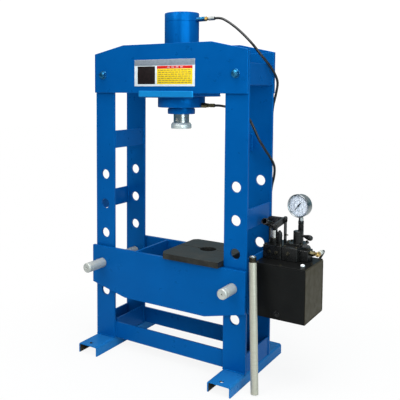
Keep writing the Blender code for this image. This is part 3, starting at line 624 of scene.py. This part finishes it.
def bar(bm, low, high, edge=0.0004):
    """Adds a box between two corners with small rounded edges."""
    low, high = Vector(low), Vector(high)
    where = Matrix.Translation((low + high) / 2) @ Matrix.Diagonal((*(high - low), 1))
    made = bmesh.ops.create_cube(bm, size=1, matrix=where)
    edges = {e for v in made["verts"] for e in v.link_edges}
    bmesh.ops.bevel(bm, geom=list(edges), offset=edge, segments=2, profile=0.5, affect="EDGES")


RIPPLE = 0.0016  # the length of a weld bead's ripple
BEAD_SIDES = 8


def bead(bm, start, end, radius=0.0034):
    """Adds a weld bead: overlapping ripples, a little uneven, tapered at both ends."""
    start, end = Vector(start), Vector(end)
    along = end - start
    count = max(6, round(along.length / RIPPLE))
    turn = Vector(UP).rotation_difference(along).to_matrix()
    rings = []
    for k in range(count + 1):
        share = k / count
        spot = start.lerp(end, share)
        uneven = noise.noise(spot * 90) * 0.16
        ripple = 0.10 * abs(sin(k * pi / 3))
        taper = min(1.0, 0.45 + 6 * min(share, 1 - share) * along.length / 0.02)
        size = radius * (0.92 + ripple + uneven) * taper
        ring = []
        for i in range(BEAD_SIDES):
            angle = 2 * pi * i / BEAD_SIDES
            out = Vector((size * cos(angle), size * sin(angle), 0))
            ring.append(bm.verts.new(spot + turn @ out))
        rings.append(ring)
    closed_rings(bm, rings)


def round_bead(bm, centre, around):
    """Adds a weld bead in a ring round an upright axis."""
    steps = 2 * round(pi * around / (2 * RIPPLE))
    rings = []
    for k in range(steps):
        angle = 2 * pi * k / steps
        out = Vector((cos(angle), sin(angle), 0))
        spot = Vector(centre) + out * around
        size = 0.003 * (0.92 + 0.10 * abs(sin(k * pi / 3)) + 0.14 * noise.noise(spot * 90))
        ring = []
        for i in range(BEAD_SIDES):
            turn = 2 * pi * i / BEAD_SIDES
            ring.append(bm.verts.new(spot + size * (out * cos(turn) + Vector((0, 0, sin(turn))))))
        rings.append(ring)
    join_rings(bm, [*rings, rings[0]])


def socket_screw(bm, base, along, radius, height):
    """Adds a cap screw's head with a recess in its top."""
    deep = height * 0.5
    profile = [
        (radius, 0), (radius, height * 0.9), (radius * 0.93, height), (radius * 0.56, height),
        (radius * 0.50, height - deep * 0.1), (radius * 0.48, height - deep),
    ]
    lathe(bm, profile, base, along, 30)


# -------- frame details

LEG = 0.342  # a leg's middle, out from the frame's centre line
HALF_LEG = 0.053
HALF = 0.127  # the uprights' outer faces, front and back of the centre line
PLATE = 0.012
BOLT_LEVEL = 1.296


def weld_lines():
    """The welded joints' lines on the frame, as start and end points."""
    lines = []
    for side in (-1, 1):
        inner, outer = side * (LEG - HALF_LEG), side * (LEG + HALF_LEG)
        for y in (-HALF - 0.0005, HALF + 0.0005, -HALF + PLATE + 0.0005, HALF - PLATE - 0.0005):
            lines.append(((inner, y, 0.0465), (outer, y, 0.0465)))
        for face in (-HALF + PLATE, HALF - PLATE):
            for x, low, high in (
                (0.2905, 0.956, 1.036), (0.2995, 0.956, 1.036), (0.3835, 0.656, 0.737),
                (0.3925, 0.656, 0.737), (0.3925, 0.050, 0.126), (0.2905, 0.050, 0.131),
                (0.3835, 1.250, 1.339), (0.3925, 1.250, 1.339),
            ):
                lines.append(((side * x, face, low), (side * x, face, high)))
        lines.append(((inner, -HALF + PLATE, 0.047), (inner, -HALF + PLATE, 0.119)))
        lines.append(((inner, HALF, 0.047), (inner, HALF, 0.119)))
        for x in (0.1505, 0.1635):
            for y in (-0.133, 0.133):
                lines.append(((side * x, y, 0.332), (side * x, y, 0.486)))
        lines.append(((side * 0.125, -0.139, 1.2010), (side * 0.125, 0.139, 1.2010)))
    for y in (-0.1395, 0.1395):
        lines.append(((-0.124, y, 1.2137), (0.124, y, 1.2137)))
    lines.append(((-0.131, -0.1395, 1.1968), (0.141, -0.1395, 1.1968)))
    for y in (-HALF + PLATE, HALF - PLATE):
        lines.append(((0.3955, y, 0.302), (0.3955, y, 0.533)))
    return lines


def weld_beads():
    bm = bmesh.new()
    for start, end in weld_lines():
        bead(bm, at(*start), at(*end))
    round_bead(bm, at(0, 0, 1.2145), 0.0795)
    as_piece("weld_beads", bm, BLUE, "frame", 50)


def tie_bolts():
    """Hex bolts, washers and thread ends over the beam's plates, sprayed with the frame."""
    for side, name in ((-1, "left"), (1, "right")):
        for facing, row in ((-1, "front"), (1, "rear")):
            bm = bmesh.new()
            place = at(side * LEG, facing * HALF, BOLT_LEVEL)
            along = (0, facing, 0)
            lathe(bm, [(0.0098, -0.0126), (0.0098, 0.0150)], place, along, 32)
            washer = [(0.0178, 0.0126), (0.0185, 0.0131), (0.0185, 0.0151), (0.0178, 0.0156)]
            lathe(bm, washer, place, along)
            nut(bm, 0.0134, 0.0156, 0.0268, place, along)
            lathe(bm, [(0.0084, 0.0268), (0.0084, 0.0274), (0.0076, 0.0276)], place, along, 32)
            nut(bm, 0.0134, -0.0240, -0.0124, place, along)
            made = as_piece(f"hex_bolt_{row}_{name}", bm, BOLT_BLUE, "frame")
            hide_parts(f"bolt_{row}_{name}")


def label():
    """A generic printed sheet: grey head, black square, red strip, yellow panel of dashes."""
    front = -HALF - PLATE - 0.0018
    panel_rise, dash_rise = 0.00012, 0.0002
    panels = (
        ("label_sheet", SHEET_WHITE, (-0.162, 0.151, 1.244, 1.361), 0.0),
        ("label_head", SHEET_GREY, (-0.1615, 0.1505, 1.3345, 1.3605), panel_rise),
        ("label_square", SHEET_BLACK, (-0.145, -0.051, 1.253, 1.332), panel_rise),
        ("label_strip", SHEET_RED, (-0.041, 0.140, 1.3205, 1.3330), panel_rise),
        ("label_panel", SHEET_YELLOW, (-0.041, 0.140, 1.253, 1.3200), panel_rise),
    )
    for name, finish, (left, right, low, high), rise in panels:
        bm = bmesh.new()
        bar(bm, at(left, front - rise, low), at(right, front + 0.0010, high), 0.00008)
        made = as_piece(name, bm, finish, "frame", 35)
        if not rise:
            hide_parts("label_plate")
    bm = bmesh.new()
    for row in range(7):
        level = 1.3125 - row * 0.0088
        start = -0.034
        step = 0
        while start < 0.128:
            wide = 0.006 + 0.011 * abs(sin(row * 2.3 + step * 1.7))
            stop = min(start + wide, 0.134)
            bar(bm, at(start, front - dash_rise, level), at(stop, front, level + 0.0026), 0.00003)
            start = stop + 0.004
            step += 1
    as_piece("label_dashes", bm, DIAL_PRINT, "frame", 35)
    bm = bmesh.new()
    for left in (0.012, 0.034, 0.056, 0.078):
        bar(bm, at(left, front - dash_rise, 1.3256), at(left + 0.014, front, 1.3280), 0.00003)
    as_piece("label_marks", bm, SHEET_WHITE, "frame", 35)


# -------- cylinder and ram

AXIS = 0.0006  # a turned end stops this far from its axis
ROD_RADIUS = 0.0356


def smooth_turned(name, profile, material, body, node, shape=lathe):
    """A finely turned piece on the cylinder's axis, in place of a CAD node."""
    bm = bmesh.new()
    shape(bm, profile, at(0, 0, 0), steps=112)
    made = as_piece(name, bm, material, body)
    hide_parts(node)
    return made


def cylinder():
    """The barrel with its grooved cap, the flange and the gland nut."""
    top, low, outer, bore = 1.5725, 1.2003, 0.078, 0.0625
    smooth_turned("turned_barrel", [
        (AXIS, top), (outer - 0.0045, top), (outer - 0.0013, top - 0.0010),
        (outer, top - 0.0042), (outer, 1.5341), (outer - 0.0010, 1.5334),
        (outer - 0.0010, 1.5326), (outer, 1.5319), (outer, low), (bore, low), (bore, 1.5328),
        (AXIS, 1.5328),
    ], BLUE_TURNED, "frame", "cylinder_barrel")
    rim, foot, seat = 0.1075, 1.149, 1.200
    smooth_turned("turned_flange", [
        (ROD_RADIUS + 0.0003, foot), (rim - 0.0032, foot), (rim - 0.0009, foot + 0.0009),
        (rim, foot + 0.0032), (rim, seat - 0.0032), (rim - 0.0009, seat - 0.0009),
        (rim - 0.0032, seat), (ROD_RADIUS + 0.0003, seat),
    ], BLUE_TURNED, "frame", "cylinder_flange", tube)
    nut_rim, neck, under, shoulder = 0.0625, 0.058, 1.119, 1.1435
    smooth_turned("turned_gland_nut", [
        (ROD_RADIUS + 0.0003, under + 0.0015), (ROD_RADIUS + 0.0018, under),
        (nut_rim - 0.0032, under), (nut_rim - 0.0009, under + 0.0009),
        (nut_rim, under + 0.0032), (nut_rim, shoulder - 0.0006), (nut_rim - 0.0006, shoulder),
        (neck, shoulder), (neck, foot - 0.0003), (ROD_RADIUS + 0.0003, foot - 0.0003),
    ], BLUE_TURNED, "frame", "gland_nut", tube)


def drilled(made, base, along, radius, low, high):
    """Cuts a round hole into a piece, with a cutter that doesn't stay."""
    bm = bmesh.new()
    lathe(bm, [(radius, low), (radius, high)], base, along, 32)
    bmesh.ops.recalc_face_normals(bm, faces=bm.faces[:])
    mesh = bpy.data.meshes.new("drill")
    bm.to_mesh(mesh)
    bm.free()
    drill = added("drill", mesh)
    cut = made.modifiers.new("cut", "BOOLEAN")
    cut.object = drill
    cut.solver = "EXACT"
    bpy.context.view_layer.update()
    shaped = made.evaluated_get(bpy.context.evaluated_depsgraph_get())
    result = bpy.data.meshes.new_from_object(shaped)
    made.modifiers.clear()
    made.data = result
    bpy.data.objects.remove(drill)


def ram():
    """The polished rod with its cross hole and piston, and the pressing head."""
    seat, piston_low, piston_high, piston = 1.0653, 1.450, 1.500, 0.0622
    rod = smooth_turned("polished_rod", [
        (AXIS, seat), (ROD_RADIUS, seat), (ROD_RADIUS, piston_low), (piston, piston_low),
        (piston, piston_high), (AXIS, piston_high),
    ], ROD_STEEL, "ram", "piston_rod")
    turn = radians(-4)
    drilled(rod, at(0, 0, 1.0925), (sin(turn), -cos(turn), 0), 0.0058, 0.028, 0.045)
    low, top, edge = 1.053, 1.080, 0.0468
    smooth_turned("pressing_head", [
        (AXIS, low), (0.0100, low), (0.0105, low + 0.0006), (0.0125, low + 0.0006),
        (0.0130, low), (edge - 0.0020, low), (edge - 0.0005, low + 0.0006),
        (edge, low + 0.0022), (edge, top - 0.0100), (edge - 0.0006, top - 0.0086),
        (edge - 0.0054, top - 0.0008), (edge - 0.0066, top), (0.0368, top),
        (0.0359, top - 0.0009), (0.0359, low + 0.012), (AXIS, low + 0.012),
    ], HEAD_STEEL, "ram", "ram_head")


# -------- steel details


def pins():
    """Turned pins: chamfered ends with a centre drilling and a shallow ring groove."""
    radius, length = 0.0222, 0.4220
    for name in ("left", "right"):
        start = middle_of(f"support_pin_{name}") - Vector((0, length / 2, 0))
        bm = bmesh.new()
        lathe(bm, [
            (0.0014, 0.0060), (0.0036, 0.0018), (0.0045, 0.0), (radius - 0.0034, 0.0),
            (radius - 0.0024, 0.0004), (radius - 0.0003, 0.0030), (radius, 0.0038),
            (radius, 0.0200), (radius - 0.0009, 0.0206), (radius - 0.0009, 0.0222),
            (radius, 0.0228), (radius, length - 0.0038), (radius - 0.0003, length - 0.0030),
            (radius - 0.0024, length - 0.0004), (radius - 0.0034, length), (0.0045, length),
            (0.0036, length - 0.0018), (0.0014, length - 0.0060),
        ], start, BACK, 64)
        made = as_piece(f"turned_pin_{name}", bm, PIN_STEEL, f"pin_{name}", 24)
        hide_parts(f"support_pin_{name}")


def handle():
    """The pump handle: a bright tube with a blackened threaded band and a bare rim."""
    foot, head = at(0.4620, -0.178, 0.0030), at(0.4165, -0.1150, 0.5495)
    lean = head - foot
    length = lean.length
    outer, inner = 0.0158, 0.0128
    low, high = length - 0.026, length - 0.0050
    bm = bmesh.new()
    tube(bm, [
        (inner, 0.0008), (inner + 0.0008, 0.0), (outer - 0.0008, 0.0), (outer, 0.0008),
        (outer, low - 0.0006), (outer - 0.0006, low), (inner, low),
    ], foot, lean)
    made = as_piece("handle_shaft", bm, TUBE_STEEL, "handle", 40)
    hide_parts("handle_tube")
    bm = bmesh.new()
    ridges = []
    pitch = 0.0024
    level = low
    while level + pitch < high:
        ridges += [(outer - 0.0016, level), (outer - 0.0004, level + pitch * 0.4),
                   (outer - 0.0004, level + pitch * 0.6)]
        level += pitch
    ridges.append((outer - 0.0016, high))
    tube(bm, [(inner, high), (inner, low), *ridges], foot, lean)
    as_piece("handle_band", bm, BAND, "handle", 24)
    bm = bmesh.new()
    tube(bm, [
        (inner, high), (outer - 0.0012, high), (outer - 0.0012, length - 0.0010),
        (outer - 0.0020, length), (inner + 0.0006, length), (inner, length - 0.0008),
    ], foot, lean)
    as_piece("handle_rim", bm, PLATED, "handle", 24)


# -------- pressure gauge

TURN = radians(-9)
DIAL = at(0.5275, 0.088, 0.737)
FACING = Vector((sin(TURN), -cos(TURN), 0))
NECK = at(0.5325, 0.118, 0.684)
PRINT_TOP = -0.0077


def dial_place(x, z, out):
    """A place over the dial: x to the right, z up, out towards the reader."""
    return DIAL + Vector((cos(TURN), sin(TURN), 0)) * x + Vector((0, 0, z)) + FACING * out


def dial_angle(share):
    """The scale's angle in degrees at a share of its sweep, from lower left to lower right."""
    return 230 - 280 * share


def printed(bm, corners):
    """Adds a thin printed shape between corners on the dial's face."""
    closed_rings(bm, [
        [bm.verts.new(dial_place(x, z, out)) for x, z in corners] for out in (-0.0079, PRINT_TOP)
    ])


def dial_bar(bm, angle, inner, outer, wide):
    """Adds a flat mark that points away from the dial's middle."""
    turn = radians(angle)
    out = Vector((cos(turn), sin(turn)))
    side = Vector((-out.y, out.x)) * wide / 2
    printed(bm, (
        out * inner - side, out * outer - side, out * outer + side, out * inner + side,
    ))


def gauge_shell():
    bm = bmesh.new()
    lathe(bm, [
        (0.030, -0.0440), (0.0405, -0.0436), (0.0440, -0.0424), (0.0464, -0.0398),
        (0.0474, -0.0360), (0.0476, -0.0150), (0.0478, -0.0100), (0.0440, -0.0098),
    ], DIAL, FACING, 96)
    lathe(bm, [(0.0058, 0.0150), (0.0075, 0.0145), (0.0075, -0.001), (0.0058, -0.001)],
          NECK, UP, 40)
    nut(bm, 0.0086, -0.0140, 0.0, NECK, UP)
    made = as_piece("gauge_shell", bm, PLATED, "frame")
    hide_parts("gauge_case")
    bm = bmesh.new()
    tube(bm, [
        (0.0440, -0.0110), (0.0488, -0.0110), (0.050, -0.0098), (0.050, -0.0022), (0.0494, -0.0008),
        (0.0478, 0.0), (0.0462, -0.0004), (0.0446, -0.0022), (0.0440, -0.0040),
    ], DIAL, FACING, 96)
    as_piece("gauge_bezel", bm, BEZEL, "frame", 40)
    bm = bmesh.new()
    lathe(bm, [(0.0434, -0.0032), (0.0439, -0.0026), (0.0300, -0.0018), (0.0100, -0.0014)],
          DIAL, FACING, 96)
    as_piece("gauge_glass", bm, GLASS, "frame", 60)


def gauge_dial():
    bm = bmesh.new()
    lathe(bm, [(0.0440, -0.0100), (0.0440, -0.0080), (0.0436, -0.0078)], DIAL, FACING, 96)
    as_piece("gauge_dial", bm, DIAL_FACE, "frame")
    bm = bmesh.new()
    for k in range(61):
        inner = 0.0340 if k % 10 == 0 else 0.0358 if k % 5 == 0 else 0.0374
        dial_bar(bm, dial_angle(k / 60), inner, 0.0395, 0.0010 if k % 10 == 0 else 0.0005)
    for k in range(140):
        angle = dial_angle((k + 0.5) / 140)
        dial_bar(bm, angle, 0.0210, 0.0222, 0.00080)
        dial_bar(bm, angle, 0.0395, 0.0402, 0.00165)
    for k in range(31):
        dial_bar(bm, dial_angle(k / 30), 0.0222, 0.0242, 0.0005)
    for half, z in ((0.0070, -0.0200), (0.0040, -0.0245)):
        printed(bm, ((-half, z), (half, z), (half, z + 0.0010), (-half, z + 0.0010)))
    as_piece("gauge_marks", bm, DIAL_PRINT, "frame")
    for k in range(7):
        angle = radians(dial_angle(k / 6))
        number(str(k * 10), 0.0292 * cos(angle), 0.0292 * sin(angle))


def number(text, x, z):
    """A dial number, as a mesh made from the built-in typeface."""
    curve = bpy.data.curves.new("number", "FONT")
    curve.body = text
    curve.size = 0.0052
    curve.align_x, curve.align_y = "CENTER", "CENTER"
    curve.extrude = 0.0001
    shape = added("number_shape", curve)
    bpy.context.view_layer.update()
    mesh = bpy.data.meshes.new_from_object(shape)
    bpy.data.objects.remove(shape)
    place = Matrix.Translation(dial_place(x, z, PRINT_TOP))
    stand = Matrix.Rotation(TURN, 4, "Z") @ Matrix.Rotation(radians(90), 4, "X")
    mesh.transform(place @ stand)
    mesh.materials.clear()
    mesh.materials.append(DIAL_PRINT)
    made = added(f"dial_number_{text}", mesh)
    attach(made, "frame")


def gauge_stem():
    """The black stem under the gauge's neck, with a ring groove and a lower hexagon."""
    base = at(0.5325, 0.118, 0.5793)
    bm = bmesh.new()
    lathe(bm, [
        (0.0112, 0.010), (0.0118, 0.0106), (0.0118, 0.0700), (0.0108, 0.0712), (0.0108, 0.0730),
        (0.0118, 0.0742), (0.0118, 0.0880), (0.0110, 0.0904), (0.0090, 0.0906),
    ], base)
    nut(bm, 0.0103, 0.0, 0.0104, base, UP)
    as_piece("gauge_stem_sleeve", bm, CASTING, "frame")


# -------- hose fittings


def ribs(bm, base, along, radius, low, high):
    """Adds a crimped ferrule: shallow ribs between its plain ends."""
    count = 6
    step = (high - low) / (count + 1)
    profile = [(radius * 0.82, low), (radius * 0.94, low + 0.0008)]
    for k in range(count):
        level = low + step * (k + 0.5)
        profile += [(radius, level), (radius, level + step * 0.55),
                    (radius * 0.90, level + step * 0.70), (radius * 0.90, level + step * 0.90)]
    profile += [(radius, high - 0.0030), (radius, high - 0.0008), (radius * 0.86, high)]
    lathe(bm, profile, base, along, 40)


def upper_fitting():
    """An oversprayed adapter and nut, a brass ring and a bright crimped ferrule."""
    base = at(0.0783, 0, 1.5405)
    bm = bmesh.new()
    lathe(bm, [(0.0100, 0.0), (0.0105, 0.0008), (0.0105, 0.0240), (0.0094, 0.0255)], base, RIGHT)
    nut(bm, 0.0099, 0.0257, 0.0427, base, RIGHT)
    made = as_piece("upper_adapter", bm, BOLT_BLUE, "frame")
    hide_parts("upper_fitting")
    bm = bmesh.new()
    lathe(bm, [(0.0098, 0.0426), (0.0104, 0.0432), (0.0104, 0.0486), (0.0096, 0.0492)], base, RIGHT)
    lathe(bm, [(0.0066, 0.0480), (0.0070, 0.0500), (0.0070, 0.0590)], base, RIGHT)
    as_piece("upper_ring", bm, BRASS, "frame")
    bm = bmesh.new()
    ribs(bm, base, RIGHT, 0.0085, 0.0587, 0.0897)
    as_piece("upper_ferrule", bm, PLATED, "frame")


def lower_fitting():
    base = at(0.1078, 0, 1.160)
    bm = bmesh.new()
    nut(bm, 0.0108, 0.0, 0.0200, base, RIGHT)
    nut(bm, 0.0091, 0.0200, 0.0320, base, RIGHT)
    lathe(bm, [(0.0066, 0.0310), (0.0070, 0.0325), (0.0070, 0.0380)], base, RIGHT)
    ribs(bm, base, RIGHT, 0.0085, 0.0378, 0.0632)
    made = as_piece("lower_hose_end", bm, OLIVE, "frame")
    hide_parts("lower_fitting")


def side_port():
    """A steel nut on the block, a brass elbow and a bright ferrule that points back."""
    start = at(0.5923, 0.073, 0.547)
    corner = at(0.626, 0.073, 0.547)
    bm = bmesh.new()
    nut(bm, 0.0102, 0.0, 0.0180, start, RIGHT)
    made = as_piece("side_port_nut", bm, OLIVE, "frame")
    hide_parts("port_elbow")
    bm = bmesh.new()
    lathe(bm, [(0.0072, 0.0175), (0.0075, 0.0182), (0.0075, 0.0337)], start, RIGHT)
    nut(bm, 0.0091, -0.0110, 0.0110, corner, BACK)
    lathe(bm, [(0.0060, -0.0110), (0.0060, -0.0124), (0.0050, -0.0130)], corner, BACK, 32)
    lathe(bm, [(0.0075, 0.0105), (0.0075, 0.0165)], corner, BACK)
    as_piece("side_port_elbow", bm, BRASS, "frame")
    bm = bmesh.new()
    ribs(bm, corner, BACK, 0.0088, 0.0160, 0.0440)
    as_piece("side_port_ferrule", bm, PIN_STEEL, "frame")


def rear_port():
    start = at(0.530, 0.1413, 0.540)
    bm = bmesh.new()
    nut(bm, 0.0099, 0.0, 0.0130, start, BACK)
    ribs(bm, start, BACK, 0.0088, 0.0128, 0.0400)
    made = as_piece("rear_port_end", bm, PLATED, "frame")
    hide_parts("port_rear")


# -------- tank, pump and valve details


def tank_details():
    """Lid screws, welded seams and the drain plug."""
    top = 0.512
    left, right, front, back = 0.4005, 0.6235, -0.067, 0.143
    bm = bmesh.new()
    spots = [(left + 0.012, front + 0.012), (right - 0.012, front + 0.012),
             (right - 0.012, back - 0.012), (left + 0.112, front + 0.012),
             (right - 0.012, front + 0.105)]
    for x, y in spots:
        place = at(x, y, top)
        lathe(bm, [(0.0052, 0.0), (0.0052, 0.0006), (0.0048, 0.0009)], place, UP, 32)
        nut(bm, 0.0036, 0.0008, 0.0038, place, UP)
    as_piece("lid_screws", bm, BAND, "frame")
    bm = bmesh.new()
    for x, y in ((left, front), (right, front), (right, back), (left, back)):
        bead(bm, at(x, y, 0.289), at(x, y, 0.506), 0.0016)
    bead(bm, at(left, front, 0.2875), at(right, front, 0.2875), 0.0014)
    bead(bm, at(right, front, 0.2875), at(right, back, 0.2875), 0.0014)
    as_piece("tank_seams", bm, TANK_PAINT, "frame", 50)
    bm = bmesh.new()
    place = at(0.504, front, 0.310)
    lathe(bm, [(0.0125, 0.0), (0.0125, 0.0030), (0.0118, 0.0036)], place, FRONT)
    nut(bm, 0.0078, 0.0036, 0.0100, place, FRONT)
    as_piece("drain_plug", bm, CASTING, "frame")


def cap_ribs():
    """The filler cap with its gripping ribs."""
    base = middle_of("filler_cap") - Vector((0, 0, 0.00425))

    def ribbed(level, angle):
        grip = 0.0005 * (1 + cos(24 * angle)) / 2
        return (
            (0.0080, 0.0), (0.0086 - grip, 0.0004), (0.0088 - grip, 0.0014),
            (0.0088 - grip, 0.0044), (0.0082 - grip * 0.4, 0.0058), (0.0060, 0.0076),
            (0.0030, 0.0084), (0.0010, 0.0085),
        )[level]

    bm = bmesh.new()
    closed_rings(bm, turned_points(bm, base, UP, ribbed, 8, 144))
    made = as_piece("ribbed_cap", bm, WHITE, "cap", 50)
    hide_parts("filler_cap")


def block_details():
    """Cap screws and plugs on both blocks, the plunger's gland ring and the relief nut."""
    bm = bmesh.new()
    for x, y in ((0.411, 0.030), (0.411, 0.128), (0.4765, 0.030), (0.4765, 0.128),
                 (0.496, 0.030), (0.546, 0.030)):
        socket_screw(bm, at(x, y, 0.570), UP, 0.0055, 0.0050)
    for x, y in ((0.4965, 0.067), (0.4955, 0.108), (0.556, 0.067), (0.556, 0.131)):
        socket_screw(bm, at(x, y, 0.579), UP, 0.0050, 0.0048)
    for x, z in ((0.430, 0.541), (0.462, 0.541), (0.514, 0.545)):
        place = at(x, 0.018, z)
        lathe(bm, [(0.0085, 0.0), (0.0085, 0.0010), (0.0080, 0.0014)], place, FRONT, 40)
        socket_screw(bm, place + Vector((0, -0.0012, 0)), FRONT, 0.0064, 0.0050)
    link_screw = at(0.4747, 0.093, 0.6055)
    lathe(bm, [(0.0024, 0.0), (0.0024, 0.0100), (0.0020, 0.0106)], link_screw, RIGHT, 24)
    nut(bm, 0.0044, 0.0, 0.0034, link_screw, RIGHT)
    nut(bm, 0.0088, 0.0, 0.0093, at(0.580, 0.075, 0.559), UP)
    as_piece("block_screws", bm, BAND, "frame")
    bm = bmesh.new()
    gland = at(0.431, 0.072, 0.591)
    tube(bm, [(0.0149, -0.002), (0.0190, -0.002), (0.0190, 0.0012), (0.0182, 0.0020),
              (0.0156, 0.0020), (0.0149, 0.0012)], gland)
    as_piece("gland_ring", bm, BAND, "frame")
    bm = bmesh.new()
    relief = at(0.4575, 0.067, 0.600)
    nut(bm, 0.0104, 0.0, 0.0080, relief, UP)
    lathe(bm, [(0.0050, 0.0240), (0.0050, 0.0262), (0.0044, 0.0268)], relief, UP, 32)
    as_piece("relief_nut", bm, CASTING, "frame")


def lever_details():
    """The pivot pin's hexagon head, the socket's clamp screw and rim, and the arm's bushing."""
    bm = bmesh.new()
    nut(bm, 0.0074, -0.0050, 0.0, at(0.478, 0.093, 0.668), RIGHT)
    as_piece("pivot_head", bm, BAND, "frame")
    bm = bmesh.new()
    rise = radians(21)
    lean = Vector((0, -cos(rise), sin(rise)))
    over = Vector((0, sin(rise), cos(rise)))
    knuckle = at(0.431, 0.0715, 0.6415)
    screw = knuckle + lean * 0.088 + over * 0.0131
    socket_screw(bm, screw, over, 0.0042, 0.0040)
    mouth = knuckle + lean * 0.114
    tube(bm, [(0.0103, -0.0080), (0.0142, -0.0080), (0.0146, -0.0072), (0.0146, -0.0012),
              (0.0140, -0.0002), (0.0112, -0.0002), (0.0103, -0.0010)], mouth, lean)
    arm = at(0.4692, -0.004, 0.6585)
    lathe(bm, [(0.0080, -0.001), (0.0080, 0.0022), (0.0074, 0.0028), (0.0034, 0.0028),
               (0.0030, 0.0012)], arm, RIGHT, 40)
    as_piece("lever_trim", bm, CASTING, "lever")


# -------- the press's own nodes


def paint_cad():
    """Materials for the CAD nodes that stay."""
    blue_parts = (
        "beam", "bed", "brace", "cheek", "rail", "upright", "pump_bracket", "cylinder_plate",
    )
    paint_nodes(BLUE, *(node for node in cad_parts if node.startswith(blue_parts)))
    # The feet's enamel is a paler copy of the frame's blue: a painted sheen for the light on their
    # tops.
    for name in ("foot_left", "foot_right"):
        paint_nodes(enamel_over_primer(
            f"{name}_paint", middle_of(name).x, (0.006, 0.115, 0.340), (0.012, 0.145, 0.390)
        ), name)
    # The shelf bar takes the paler enamel as a painted highlight.
    paint_nodes(BLUE_PAINTED_HIGHLIGHT, "shelf_bar")
    paint_nodes(ROD_STEEL, "plunger")
    paint_nodes(ARBOR, "arbor_plate_front", "arbor_plate_rear")
    paint_nodes(TANK_PAINT, "tank", "tank_lid")
    paint_nodes(
        CASTING, "pump_block", "valve_block", "lever_bracket", "pump_lever", "valve_body",
        "valve_lever",
    )
    paint_nodes(POINTER, "gauge_needle")


camera()
studio()
floor()
hose("upper_hose_cover", "upper_hose", UPPER_ROUTE)
hose("lower_hose_cover", "lower_hose", LOWER_ROUTE)
paint_cad()
cylinder()
ram()
weld_beads()
tie_bolts()
label()
pins()
handle()
gauge_shell()
gauge_dial()
gauge_stem()
upper_fitting()
lower_fitting()
side_port()
rear_port()
tank_details()
cap_ribs()
block_details()
lever_details()
